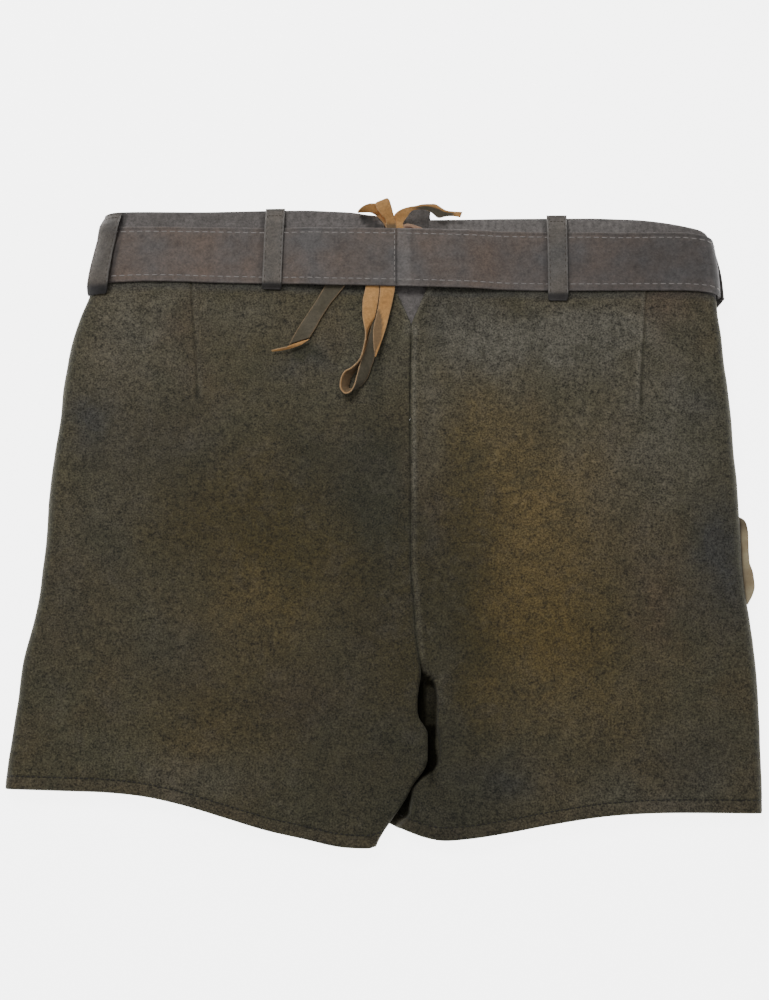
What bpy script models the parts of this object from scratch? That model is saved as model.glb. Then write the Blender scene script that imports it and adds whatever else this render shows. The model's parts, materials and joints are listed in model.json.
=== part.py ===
"""Short suede lederhosen with a leather belt, laid flat with the back up.

Metres, +Z up. The wearer's right is +X and the waist is towards +Y. The
origin is under the middle of the garment, on the surface that it lies on.
Sizes below are in millimetres and are turned into metres when a mesh is made.
"""

import math

import bmesh
import bpy
import numpy as np

MM = 0.001

# ---------------------------------------------------------------- sizes

SUEDE = 1.6  # wall of the panels and waistband
HEM_WALL = 3.0  # turned-up hem: two layers
HEM_DEEP = 10.0
SEAM = 0.3  # gap at every seam
LIE = 0.35  # gap between pieces that lie on each other

SEAM_X = 18.0  # centre seams, back and front
NOTCH_FOOT = 139.0  # y where the laced notch starts
NOTCH_SPREAD = 0.43  # how far each side of the notch leans out, per mm of height
CROTCH = -112.0

FOLD = 8.0  # width of the rounded side fold
WAIST_TOP = 19.4  # height of the back waistband's outer face
WAIST_UNDER = 7.2  # height of the front waistband's outer face
RISE_DEEP = 63.0  # the front leaves the ground this far below the waist seam
RISE_OVER = 46.0
BUCKLE_ROOM = 4.2  # extra height of the front over the buckle
BUCKLE_SPAN = (-40.0, 62.0, 30.0)  # from x, to x, and the run that it fades over

BELT_WIDE = 44.5
BELT_THICK = 2.4
BELT_GAP = 0.4
BELT_FOLD_GAP = 1.2
LACE_ROOM = 3.0  # how far the lace holds the belt off at the centre back
LACE_SPAN = (-46.0, 56.0, 34.0)
BELT_JOIN_X = 8.6

LACE_THICK = 1.1


def table(columns, rows):
    """A dict of arrays, one for each named column."""
    names = columns.split()
    return dict(zip(names, np.array(rows, float).T))


# Where the two side folds lie, from hem to waist.
SIDES = table("y left right", [
    (-226, -258, 254),
    (-205, -257, 255),
    (-180, -256.5, 256),
    (-154, -254, 255.5),
    (-127, -251, 255),
    (-99, -248, 254),
    (-71, -242, 252),
    (-44, -238, 249.5),
    (-15, -236, 248.5),
    (13, -235, 247.5),
    (42, -233, 246),
    (71, -230, 245),
    (101, -227, 243.5),
    (131, -221.5, 240.5),
    (146, -217, 238.5),
    (161, -211.5, 238),
    (178, -208.5, 237.5),
    (192, -206, 236),
    (208, -202, 233.5),
    (226, -198, 230),
])

# Where each leg's inner fold lies below the crotch.
INNER = table("y left right", [
    (-228, -7, -3),
    (-220, -3.5, -1),
    (-207, 5, 2),
    (-194, 14, 6),
    (-183, 20, 9),
    (-173, 27.5, 12),
    (-161, 29.5, 15),
    (-150, 29.5, 17.5),
    (-138, 23.2, 18.5),
    (-128, 22.6, 19.5),
    (-120, 23.5, 21.5),
    (-112, 24.9, 27.2),
])

# The centre-back seam above the crotch.
CENTRE = table("y x", [
    (-112, 26.5),
    (-106, 25),
    (-87, 22),
    (-59, 20),
    (-31, 18),
    (83, 18),
    (139, 19),
])

# Lower edges of the two legs.
HEM_LEFT = table("x y", [
    (-262, -186.5),
    (-215, -188),
    (-188, -189),
    (-161, -192),
    (-134, -198),
    (-107, -206),
    (-80, -214),
    (-53, -220),
    (-30, -225),
    (-12, -226),
    (0, -223),
])
HEM_RIGHT = table("x y", [
    (0, -208),
    (14, -214),
    (28, -219),
    (41, -221),
    (55, -220),
    (82, -216),
    (109, -211),
    (149, -205),
    (203, -202.5),
    (260, -203),
])

# The line that rows follow across the centre, above the legs.
HEM_MIDDLE = table("x y", [
    (-30, -225),
    (-12, -226),
    (18, -222),
    (41, -221),
    (55, -220),
])

# Seam between the panels and the waistband, and the waistband's top edge.
WAIST_SEAM = table("x y", [
    (-215, 170),
    (-188, 172),
    (11, 173),
    (68, 171),
    (125, 169),
    (182, 167),
    (224, 163),
    (242, 157),
])
WAIST_EDGE = table("x y", [
    (-215, 222),
    (-191, 224),
    (-25, 224),
    (51, 217.5),
    (156, 217),
    (184, 216),
    (206, 213),
    (227, 206),
    (236, 201),
    (243, 195),
])
BELT_MIDDLE = table("x y", [
    (-215, 186.5),
    (-190, 188.5),
    (-110, 188),
    (-32, 187.8),
    (11, 187.3),
    (69, 186),
    (126, 184.5),
    (183, 183.3),
    (226, 180),
    (239, 175),
    (245, 171),
])

# Height of the back's outer face, and broad swells on it.
BACK_HEIGHT = table("y z", [
    (-226, 11.5),
    (-190, 12),
    (-100, 13.5),
    (0, 15),
    (80, 16.8),
    (140, 18.8),
    (165, WAIST_TOP),
    (226, WAIST_TOP),
])
SWELLS = table("x y wide deep high", [
    (-115, 10, 95, 95, 2.6),
    (112, 0, 95, 100, 3.2),
    (-130, -130, 85, 45, 1.6),
    (140, -140, 85, 45, 1.8),
    (-60, 95, 40, 40, -0.8),
    (75, 90, 40, 45, -0.8),
])

LAP_LIFT = 5.6  # the left leg's inner edge lies this high, over the right leg's
LAP_THICK = 4.8  # height of the right leg's flattened inner fold
LAP_RUN = 42.0
LAP_AHEAD = 5.0
LAP_ABOVE = 10.0  # the legs start to lap this far above the crotch
LAP_FADE = 14.0

# Where the right leg rises again beside the left leg's edge, and over what width.
SHOULDER = table("y x run", [
    (-226, 4, 22),
    (-207, 11, 20),
    (-194, 18, 16),
    (-180, 29, 10),
    (-165, 31, 9),
    (-120, 30.5, 9),
    (-106, 26, 9),
])

# ------------------------------------------------------------- curves


def smooth(knots, values, at):
    """A smooth curve through (knots, values), read at any place."""
    at = np.clip(at, knots[0], knots[-1])
    steps = np.diff(knots)
    slopes = np.diff(values) / steps
    inner = (slopes[:-1] * steps[1:] + slopes[1:] * steps[:-1]) / (steps[:-1] + steps[1:])
    inner = np.where(slopes[:-1] * slopes[1:] <= 0, 0, inner)
    tangents = np.concatenate([slopes[:1], inner, slopes[-1:]])
    i = np.clip(np.searchsorted(knots, at, side="right") - 1, 0, len(steps) - 1)
    t = (at - knots[i]) / steps[i]
    rise = values[i + 1] - values[i]
    leave = tangents[i] * steps[i] - rise
    arrive = tangents[i + 1] * steps[i] - rise
    return values[i] + rise * t + t * (1 - t) * ((1 - t) * leave - t * arrive)


def read(rows, column, at, by="y"):
    return smooth(rows[by], rows[column], np.asarray(at, float))


def ease(value):
    value = np.clip(value, 0, 1)
    return value * value * (3 - 2 * value)


def plateau(at, low, high, run):
    """1 between low and high, fading to 0 over run on both sides."""
    return ease((at - low) / run + 1) * ease((high - at) / run + 1)


# ------------------------------------------------ surfaces of the garment


def side_x(side, y):
    return read(SIDES, "right" if side > 0 else "left", y)


def inner_x(side, y):
    """Where a back or front panel ends on its inner side: centre seam, notch or inner fold."""
    y = np.asarray(y, float)
    above = read(CENTRE, "x", y) + side * (SEAM / 2 + NOTCH_SPREAD * np.maximum(0, y - NOTCH_FOOT))
    below = read(INNER, "right" if side > 0 else "left", y)
    mix = ease((y - CROTCH) / 8)
    return below + (above - below) * mix


def back_z(side, x, y):
    """Height of the back's outer face."""
    height = read(BACK_HEIGHT, "z", y)
    for row in range(len(SWELLS["x"])):
        away = ((x - SWELLS["x"][row]) / SWELLS["wide"][row]) ** 2
        away = away + ((y - SWELLS["y"][row]) / SWELLS["deep"][row]) ** 2
        height = height + SWELLS["high"][row] * ease(1 - np.sqrt(away))
    if side > 0:
        lap = ease((CROTCH + LAP_ABOVE - y) / LAP_FADE)
        up = ease((x - read(SHOULDER, "x", y)) / read(SHOULDER, "run", y))
        height = height - lap * (1 - up) * (height - LAP_THICK)
    return height


def front_z(side, x, y):
    """Height of the front's outer face, the underside."""
    room = BUCKLE_ROOM * plateau(x, *BUCKLE_SPAN)
    below_seam = read(WAIST_SEAM, "y", x, by="x") - y
    height = (WAIST_UNDER + room) * ease((RISE_DEEP - below_seam) / RISE_OVER)
    if side < 0:
        start = inner_x(1, y) - LAP_AHEAD - LAP_RUN
        lap = ease((CROTCH + LAP_ABOVE + 2 - y) / LAP_FADE)
        height = height + LAP_LIFT * lap * ease((x - start) / LAP_RUN)
    return height


def belt_room(x):
    """How far the belt's inner face stands off the back waistband."""
    return BELT_GAP + LACE_ROOM * plateau(x, *LACE_SPAN)


# ------------------------------------------------------------- meshes


def material(name, colour, roughness=0.9, metallic=0.0):
    made = bpy.data.materials.new(name)
    made.use_nodes = True
    shader = made.node_tree.nodes["Principled BSDF"]
    shader.inputs["Base Color"].default_value = (*colour, 1)
    shader.inputs["Roughness"].default_value = roughness
    shader.inputs["Metallic"].default_value = metallic
    return made


def add_object(name, points, faces, finish):
    mesh = bpy.data.meshes.new(name)
    mesh.from_pydata([tuple(p) for p in np.asarray(points) * MM], [], faces)
    shaped = bmesh.new()
    shaped.from_mesh(mesh)
    bmesh.ops.recalc_face_normals(shaped, faces=shaped.faces)
    shaped.to_mesh(mesh)
    shaped.free()
    mesh.shade_smooth()
    mesh.set_sharp_from_angle(angle=math.radians(40))
    mesh.materials.append(finish)
    made = bpy.data.objects.new(name, mesh)
    bpy.context.collection.objects.link(made)
    return made


def slab(name, face, back, finish, keep=None):
    """A closed wall between two grids of points; keep says which cells are there."""
    rows, columns = face.shape[:2]
    if keep is None:
        keep = np.ones((rows - 1, columns - 1), bool)
    count = rows * columns
    faces = []

    def at(row, column, layer):
        return layer * count + row * columns + column

    def there(row, column):
        return 0 <= row < rows - 1 and 0 <= column < columns - 1 and keep[row, column]

    for row in range(rows - 1):
        for column in range(columns - 1):
            if not keep[row, column]:
                continue
            ring = [(row, column), (row, column + 1), (row + 1, column + 1), (row + 1, column)]
            faces.append([at(*corner, 0) for corner in ring])
            faces.append([at(*corner, 1) for corner in reversed(ring)])
            beyond = [(row - 1, column), (row, column + 1), (row + 1, column), (row, column - 1)]
            for edge in range(4):
                if there(*beyond[edge]):
                    continue
                first, second = ring[edge], ring[(edge + 1) % 4]
                faces.append([at(*second, 0), at(*first, 0), at(*first, 1), at(*second, 1)])
    points = np.concatenate([face.reshape(-1, 3), back.reshape(-1, 3)])
    used = sorted({corner for ring in faces for corner in ring})
    place = {corner: index for index, corner in enumerate(used)}
    return add_object(name, points[used], [[place[c] for c in ring] for ring in faces], finish)


def normals(grid, towards):
    """Unit normals of a grid of points, on the side that towards points to at the first point."""
    across = np.gradient(grid, axis=1)
    along = np.gradient(grid, axis=0)
    facing = np.cross(across, along)
    facing /= np.linalg.norm(facing, axis=2, keepdims=True)
    middle = tuple(size // 2 for size in grid.shape[:2])
    return facing if np.dot(facing[middle], towards) > 0 else -facing


# --------------------------------------------------------- body panels

ROWS = 25
ROW_CROWD = 1.2  # rows lie closer together near the hem
LEG_LONG = 390.0  # hem to waist seam, about
HEM_SHARE = HEM_DEEP / LEG_LONG


def row_shares():
    """Each row's share of the height; the hem's turn-up ends in a small step."""
    shares = np.linspace(0, 1, ROWS) ** ROW_CROWD
    return np.array([0, HEM_SHARE, HEM_SHARE * 1.06, *shares[shares > HEM_SHARE * 1.6]])


SHARES = row_shares()
WALLS = np.where(SHARES <= HEM_SHARE + 1e-6, HEM_WALL, SUEDE)


def body_y(side, x, share):
    hem = read(HEM_RIGHT if side > 0 else HEM_LEFT, "y", x, by="x")
    if HEM_MIDDLE["x"][0] < x < HEM_MIDDLE["x"][-1]:
        hem = hem + (read(HEM_MIDDLE, "y", x, by="x") - hem) * ease(share / 0.35)
    waist = read(WAIST_SEAM, "y", x, by="x") - SEAM / 2
    return hem + (waist - hem) * share


SETTLE_STEPS = 12


def settle(side, share, edge):
    """The point of a row that lies on an edge curve x = edge(y)."""
    y = body_y(side, SEAM_X, share)
    for _ in range(SETTLE_STEPS):
        x = edge(y)
        y = body_y(side, x, share)
    return float(x), float(y)


def side_fold(side, y, x_side, angles, out=0.0, wide=FOLD):
    """Points round the side fold, from the back (90 degrees) to the front (-90)."""
    centre = x_side - side * wide
    top = back_z(side, centre, y)
    bottom = front_z(side, centre, y)
    middle = (top + bottom) / 2
    half = (top - bottom) / 2
    turn = np.radians(angles)
    x = centre + side * (wide + out) * np.cos(turn)
    return x, middle + (half + out) * np.sin(turn)


SEAM_PAST_FOLD = 3.0  # the side seam lies this far inside the fold, underneath
BACK_RUN = np.array([0, 0.05, 0.11, 0.19, 0.28, 0.38, 0.48, 0.58, 0.68, 0.78, 0.87, 0.94, 1])
FOLD_ANGLES = np.array([90, 66, 42, 18, -6, -30, -54, -76, -90.0])
SEAM_ANGLES = np.array([0, 25, 50, 72, 90.0])


def leg_open(y):
    """0 above the crotch, where the panels meet at a seam, and 1 below, where each leg folds."""
    return ease((CROTCH + 16 - y) / 26)


SEAM_ROLL = 4.0  # width over which a panel turns down to the centre seam
SEAM_START = 62.0


def seam_bend(y, deep):
    """The inner edge's bend: its start angle and width. It is slight at the seam and round at a fold."""
    is_open = leg_open(y)
    return SEAM_START * (1 - is_open), SEAM_ROLL + (deep * 1.1 - SEAM_ROLL) * is_open


def half_height(side, x, y):
    """Half the height of the flattened leg at a place, less half the seam."""
    return float(back_z(side, x, y) - front_z(side, x, y)) / 2 - SEAM / 2


def back_panel(side):
    grid = []
    for share in SHARES:
        x_side, y_side = settle(side, share, lambda y: side_x(side, y))
        x_in, y_in = settle(side, share, lambda y: inner_x(side, y))
        start, wide = seam_bend(y_in, half_height(side, x_in + side * SEAM_ROLL, y_in))
        turn = np.radians(start + (90 - start) * SEAM_ANGLES / 90)
        run_end = x_side - side * FOLD
        crest = x_in + side * wide * math.cos(math.radians(start))
        row = []
        top = float(back_z(side, crest, y_in))
        deep = half_height(side, crest, y_in)
        for angle in turn:
            x = crest - side * wide * math.cos(angle)
            row.append((x, body_y(side, x, share), top - deep * (1 - math.sin(angle))))
        for part in BACK_RUN[1:]:
            x = crest + (run_end - crest) * part
            y = body_y(side, x, share)
            row.append((x, y, float(back_z(side, x, y))))
        xs, zs = side_fold(side, y_side, x_side, FOLD_ANGLES[1:])
        for x, z in zip(xs, zs):
            row.append((x, body_y(side, x, share), z))
        x = run_end - side * SEAM_PAST_FOLD
        y = body_y(side, x, share)
        row.append((x, y, float(front_z(side, x, y))))
        grid.append(row)
    return np.array(grid, float)


FLAP_WIDE = 140.0
FLAP_SHARE = 0.74
FRONT_RUN = np.array([0, 0.15, 0.35, 0.55, 0.75, 1])


def front_panel(side):
    """The front from its inner edge to the side seam. Its first columns run beside the flap."""
    flap_x = SEAM_X + side * FLAP_WIDE / 2
    grid = []
    for share in SHARES:
        x_side, y_side = settle(side, share, lambda y: side_x(side, y))
        x_in, y_in = settle(side, share, lambda y: front_inner_x(side, y))
        _, wide = seam_bend(y_in, half_height(side, x_in + side * SEAM_ROLL, y_in))
        crest = x_in + side * wide
        under = float(front_z(side, crest, y_in))
        rise = leg_open(y_in) * half_height(side, crest, y_in)
        row = []
        for angle in np.radians(SEAM_ANGLES):
            x = crest - side * wide * math.cos(angle)
            y = body_y(side, x, share)
            row.append((x, y, under + rise * (1 - math.sin(angle))))
        seam_x = x_side - side * (FOLD + SEAM_PAST_FOLD + SEAM)
        for start_x, end_x in ((crest, flap_x), (flap_x, seam_x)):
            for part in FRONT_RUN[1:]:
                x = start_x + (end_x - start_x) * part
                y = body_y(side, x, share)
                row.append((x, y, float(front_z(side, x, y))))
        grid.append(row)
    return np.array(grid, float)


def front_inner_x(side, y):
    centre = SEAM_X + side * SEAM / 2
    fold = read(INNER, "right" if side > 0 else "left", y)
    return fold + (centre - fold) * ease((np.asarray(y, float) - CROTCH) / 40)


def panel_solid(name, grid, towards, walls, finish, keep=None, edge=None):
    """A wall behind a grid; edge gives the directions that it faces along its inner edge."""
    facing = normals(grid, towards)
    if edge is not None:
        facing[:, 0] = edge
    return slab(name, grid, grid - facing * np.asarray(walls)[..., None], finish, keep)


def edge_facing(side, grid, towards):
    """Where the inner edge faces: along the cloth at a seam, and sideways where a leg folds."""
    faces = []
    for x, y, _ in grid[:, 0]:
        flat = SEAM_START if towards > 0 else 90
        turn = math.radians(flat * (1 - leg_open(y)))
        faces.append((-side * math.cos(turn), 0, towards * math.sin(turn)))
    return np.array(faces)


FLAT_CLEAR = 0.7
FLAT_WALL = 1.2


def panel_walls(side, grid):
    """Wall thickness at each point, less where a leg is folded flat."""
    walls = np.repeat(WALLS[:, None], grid.shape[1], axis=1)
    x, y = grid[..., 0], grid[..., 1]
    room = back_z(side, x, y) - front_z(side, x, y)
    return np.minimum(walls, np.maximum(room / 2 - FLAT_CLEAR, FLAT_WALL))


def build_panels(suede):
    for side, word in ((-1, "left"), (1, "right")):
        grid = back_panel(side)
        walls = panel_walls(side, grid)
        panel_solid("back_" + word, grid, (0, 0, 1), walls, suede, edge=edge_facing(side, grid, 1))
        grid = front_panel(side)
        keep = np.ones((grid.shape[0] - 1, grid.shape[1] - 1), bool)
        beside_flap = len(SEAM_ANGLES) + len(FRONT_RUN) - 2
        keep[SHARES[:-1] >= flap_share() - 1e-6, :beside_flap] = False
        walls = panel_walls(side, grid)
        panel_solid("front_" + word, grid, (0, 0, -1), walls, suede, keep, edge_facing(side, grid, -1))


def flap_share():
    """The row of the front panels where the flap's opening starts."""
    return float(SHARES[np.argmin(np.abs(SHARES - FLAP_SHARE))])


FLAP_ROWS = 8
FLAP_COLUMNS = 15
FLAP_CLEAR = 0.4
SLOPE_STEP = 5.0


def flap_point(x, share):
    y = float(body_y(1 if x > SEAM_X else -1, x, share))
    return (x, y, float(front_z(1, x, y)))


def build_flap(suede, horn):
    low = flap_share() + FLAP_CLEAR / LEG_LONG
    half = FLAP_WIDE / 2 - SEAM
    shares = np.linspace(low, 1, FLAP_ROWS)
    places = np.linspace(SEAM_X - half, SEAM_X + half, FLAP_COLUMNS)
    grid = np.array([[flap_point(x, share) for x in places] for share in shares])
    panel_solid("front_flap", grid, (0, 0, -1), np.full(grid.shape[:2], SUEDE), suede)
    for side, word in ((-1, "left"), (1, "right")):
        x, y, z = flap_point(SEAM_X + side * (half - BUTTON_IN), BUTTON_SHARE)
        ahead = front_z(1, x + SLOPE_STEP, y) - front_z(1, x - SLOPE_STEP, y)
        above = front_z(1, x, y + SLOPE_STEP) - front_z(1, x, y - SLOPE_STEP)
        slope = np.array([ahead, above]) / (2 * SLOPE_STEP)
        button("button_" + word, (x, y, z - BUTTON_CLEAR), slope, horn)


BUTTON_RADIUS = 8.5
BUTTON_THICK = 2.6
BUTTON_IN = 30.0
BUTTON_SHARE = 0.945
BUTTON_CLEAR = 1.0
BUTTON_SIDES = 20


# From the domed face at the bottom to the flat back: share of the radius, share of the thickness.
BUTTON_PROFILE = [(0.55, -1.0), (0.9, -0.7), (1.0, -0.35), (0.9, 0.0)]


def button(name, place, slope, finish):
    """A plain domed button whose flat back faces up, against the sloping flap."""
    offsets = [(0, 0, -BUTTON_THICK)]
    for share, high in BUTTON_PROFILE:
        for turn in 2 * math.pi * np.arange(BUTTON_SIDES) / BUTTON_SIDES:
            radius = BUTTON_RADIUS * share
            offsets.append((radius * math.cos(turn), radius * math.sin(turn), BUTTON_THICK * high))
    offsets.append((0, 0, 0))
    points = np.array(offsets)
    points[:, 2] += points[:, :2] @ slope
    rings = len(BUTTON_PROFILE)
    faces = ring_faces(BUTTON_SIDES, rings, first=1)
    last = 1 + (rings - 1) * BUTTON_SIDES
    for step in range(BUTTON_SIDES):
        after = (step + 1) % BUTTON_SIDES
        faces.append([0, 1 + after, 1 + step])
        faces.append([last + step, last + after, len(points) - 1])
    add_object(name, points + place, faces, finish)


def ring_faces(sides, rings, first=0, closed=False):
    """Quads between rings of points that are stored one after another."""
    faces = []
    for ring in range(rings if closed else rings - 1):
        low = first + ring * sides
        high = first + (ring + 1) % rings * sides
        for step in range(sides):
            after = (step + 1) % sides
            faces.append([low + step, low + after, high + after, high + step])
    return faces


# ----------------------------------------------------- waistband and belt

WAIST_RUN = np.array([0, 0.3, 0.6, 1])  # from beside the flap to the centre front


def ring_line(side, y, back_end, front_end, out):
    """A line round half the waist, from the centre back over the fold to the front.

    Its stations are those of the panels' top rows. out gives the distance outside
    the waistband's outer face, as a function of x and of the part.
    """
    x_side = float(side_x(side, y))
    run_end = x_side - side * FOLD
    crest = back_end + side * SEAM_ROLL * math.cos(math.radians(SEAM_START))
    xs, zs = [], []
    for x in [back_end, *(crest + (run_end - crest) * BACK_RUN)]:
        xs.append(x)
        zs.append(float(back_z(side, x, y)) + out(x, "back"))
    fold_x, fold_z = side_fold(side, y, x_side, FOLD_ANGLES[1:-1], out(run_end, "fold"))
    xs.extend(fold_x)
    zs.extend(fold_z)
    flap_x = SEAM_X + side * FLAP_WIDE / 2
    seam_x = run_end - side * (SEAM_PAST_FOLD + SEAM / 2)
    stations = [run_end, *(seam_x + (flap_x - seam_x) * (1 - FRONT_RUN[::-1]))]
    stations += list(flap_x + (front_end - flap_x) * WAIST_RUN[1:])
    for x in stations:
        xs.append(x)
        zs.append(float(front_z(side, x, y)) - out(x, "front"))
    return np.array(xs), np.array(zs)


def band_y(x, share, low, high):
    return low(x) + (high(x) - low(x)) * share


def seam_y(x):
    return read(WAIST_SEAM, "y", x, by="x") + SEAM / 2


def edge_y(x):
    return read(WAIST_EDGE, "y", x, by="x")


BAND_SHARES = (0, 0.25, 0.5, 0.75, 1)
BAND_Y = 195.0  # about half way up the waistband


def build_waistband(suede):
    for side, word in ((-1, "left"), (1, "right")):
        rows = []
        for share in BAND_SHARES:
            y_back = band_y(SEAM_X, share, seam_y, edge_y)
            y_side = band_y(float(side_x(side, BAND_Y)), share, seam_y, edge_y)
            start = float(inner_x(side, y_back))
            end = SEAM_X + side * SEAM / 2
            xs, zs = ring_line(side, y_side, start, end, lambda x, part: 0.0)
            rows.append([(x, band_y(x, share, seam_y, edge_y), z) for x, z in zip(xs, zs)])
        grid = np.array(rows, float)
        facing = ring_normals(grid)
        slab("waistband_" + word, grid, grid - facing * SUEDE, suede)


def ring_normals(grid):
    """Unit normals across a band that wraps the side fold: outwards all round."""
    facing = normals(grid, (0, 0, 1))
    if facing[facing.shape[0] // 2, 1, 2] < 0:
        facing = -facing
    return facing


FRAME_X = 6.0  # where the buckle's heel bar lies
FRAME_LONG = 30.0
FRAME_HIGH = 49.0
FRAME_Z = 6.8
WIRE = 2.4
PRONG = 1.7
LOOP_RADIUS = 2.05
SKIVED = 1.1
TIP_X = -62.0
TIP_Z = 2.75
TOE_Z = 9.5
SLOT_ROWS = (0.45, 0.55)


def belt_out(x, part):
    """Middle of the belt's thickness, outside the waistband's outer face."""
    gap = belt_room(x) if part == "back" else BELT_FOLD_GAP
    return float(gap) + BELT_THICK / 2


def belt_y(x, share):
    return read(BELT_MIDDLE, "y", x, by="x") + BELT_WIDE * (share - 0.5)


def strap(name, line_at, thick, finish, slot=None):
    """A flat strap; line_at(share) gives its (x, z) middle line at a share of its width.

    slot names the first and last column of a slot through its middle.
    """
    thick = np.asarray(thick, float)[:, None]
    shares = [0, *SLOT_ROWS, 1]
    layers = []
    for sign in (0.5, -0.5):
        rows = []
        for share in shares:
            line = np.array(line_at(share), float)
            ahead = np.gradient(line, axis=0)
            ahead /= np.linalg.norm(ahead, axis=1, keepdims=True)
            edge = line + np.stack([-ahead[:, 1], ahead[:, 0]], axis=1) * thick * sign
            rows.append([(x, float(belt_y(x, share)), z) for x, z in edge])
        layers.append(np.array(rows))
    keep = np.ones((len(shares) - 1, len(thick) - 1), bool)
    if slot:
        keep[1, slot[0]:slot[1]] = False
    return slab(name, layers[0], layers[1], finish, keep)


FLAT_Z = WAIST_UNDER - BELT_GAP - BELT_THICK / 2


def half_belt(side, share):
    """The belt's middle line from the join at the centre back to where the front ends begin."""
    y = float(belt_y(float(side_x(side, BELT_Y)), share))
    x_side = float(side_x(side, y))
    run_end = x_side - side * FOLD
    start = BELT_JOIN_X + side * SEAM / 2
    line = []
    for x in start + (run_end - start) * BELT_RUN:
        line.append((x, float(back_z(side, x, y)) + belt_out(x, "back")))
    xs, zs = side_fold(side, y, x_side, FOLD_ANGLES[1:-1], belt_out(run_end, "fold"))
    line += list(zip(xs, zs))
    front_end = SEAM_X + side * BELT_FRONT_END
    line += [(x, FLAT_Z) for x in run_end + (front_end - run_end) * BELT_FRONT_RUN]
    return line


BELT_RUN = np.array([0, 0.06, 0.13, 0.2, 0.27, 0.33, 0.39, 0.5, 0.63, 0.77, 0.9, 1])
BELT_FRONT_RUN = np.array([0, 0.33, 0.66, 1])
BELT_FRONT_END = 95.0  # from the front's middle: the belt's ends start here
BELT_Y = 185.0  # about the belt's middle


def build_belt(belt_leather, brass):
    fold_back = [(FRAME_X - 7, FLAT_Z - 0.3), (FRAME_X - 3, FRAME_Z - LOOP_RADIUS)]
    for angle in (-90, -45, 0, 45, 90):
        turn = math.radians(angle)
        fold_back.append((FRAME_X + LOOP_RADIUS * math.cos(turn), FRAME_Z + LOOP_RADIUS * math.sin(turn)))
    fold_back += [(FRAME_X - 4, FRAME_Z + LOOP_RADIUS + 0.1)]
    fold_back += [(FRAME_X - 12, FLAT_Z + (BELT_THICK + SKIVED) / 2 + LIE + 0.3)]
    flat = [(-45, FLAT_Z), (-30, FLAT_Z), (FRAME_X - 12, FLAT_Z)]
    whole = len(half_belt(-1, 0.5)) + len(flat)
    thick = [BELT_THICK] * whole + [1.7] + [SKIVED] * (len(fold_back) - 1)
    slot = (whole + 1, len(thick) - 2)
    strap("belt_left", lambda share: half_belt(-1, share) + flat + fold_back, thick, belt_leather, slot)

    over_toe = [(78, FLAT_Z + 0.6), (66, TOE_Z - 1.0), (56, TOE_Z), (44, TOE_Z), (FRAME_X + 24, TOE_Z)]
    ramp = [(FRAME_X + 20, TOE_Z - 1.6), (FRAME_X + 8, TIP_Z + 1.1), (FRAME_X + 4, TIP_Z + 0.1)]
    tip = [(FRAME_X - 4, TIP_Z), (-30, TIP_Z), (-46, TIP_Z), (TIP_X, TIP_Z)]
    before = len(half_belt(1, 0.5)) + len(over_toe)
    thick = [BELT_THICK] * (before + len(ramp) + len(tip))
    slot = (before, before + 2)
    strap("belt_right", lambda share: half_belt(1, share) + over_toe + ramp + tip, thick, belt_leather, slot)
    build_buckle(brass)
    build_keeper(belt_leather)


def tube(name, path, radius, aside, finish, sides=8, closed=False):
    """A round bar along a path of points; aside is a direction off the path all along it."""
    path = np.array(path, float)
    if closed:
        ahead = np.roll(path, -1, axis=0) - np.roll(path, 1, axis=0)
    else:
        ahead = np.gradient(path, axis=0)
    ahead /= np.linalg.norm(ahead, axis=1, keepdims=True)
    first = aside - ahead * (ahead @ aside)[:, None]
    first /= np.linalg.norm(first, axis=1, keepdims=True)
    second = np.cross(ahead, first)
    points = []
    for turn in 2 * math.pi * np.arange(sides) / sides:
        points.append(path + radius * (math.cos(turn) * first + math.sin(turn) * second))
    points = np.stack(points, axis=1).reshape(-1, 3)
    faces = ring_faces(sides, len(path), closed=closed)
    if not closed:
        faces.append(list(range(sides))[::-1])
        faces.append([(len(path) - 1) * sides + step for step in range(sides)])
    return add_object(name, points, faces, finish)


FRAME_CORNER = 2.0
CORNER_STEPS = 4
PRONG_LIE = 0.6  # the prong slopes up by this before it rests on the frame


def build_buckle(brass):
    """An oblong frame, and a prong curled round its heel bar."""
    middle = float(belt_y(FRAME_X, 0.5))
    half = FRAME_HIGH / 2
    path = []
    corners = ((FRAME_LONG, half, 0), (0, half, 90), (0, -half, 180), (FRAME_LONG, -half, 270))
    for x, y, start in corners:
        centre_x = FRAME_X + (x - FRAME_CORNER if x else FRAME_CORNER)
        centre_y = middle + y - math.copysign(FRAME_CORNER, y)
        for turn in np.radians(start + 90 * np.arange(CORNER_STEPS) / (CORNER_STEPS - 1)):
            corner_x = centre_x + FRAME_CORNER * math.cos(turn)
            path.append((corner_x, centre_y + FRAME_CORNER * math.sin(turn), FRAME_Z))
    tube("buckle_frame", path, WIRE / 2, np.array([0, 0, 1.0]), brass, closed=True)
    curl = WIRE / 2 + LIE + PRONG / 2
    path = []
    for turn in np.radians((200, 160, 120, 80, 40, 0, -30)):
        path.append((FRAME_X + curl * math.cos(turn), middle, FRAME_Z + curl * math.sin(turn)))
    rest = FRAME_Z - curl
    for ahead, rise in ((9, PRONG_LIE), (20, 0), (FRAME_LONG + 2, 0)):
        path.append((FRAME_X + ahead, middle, rest + rise))
    tube("buckle_prong", path, PRONG / 2, np.array([0, 1.0, 0]), brass)


KEEPER_X = -32.0
KEEPER_WIDE = 12.0
KEEPER_THICK = 1.1
KEEPER_LOOSE = 1.0  # room past each edge of the belt


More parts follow.
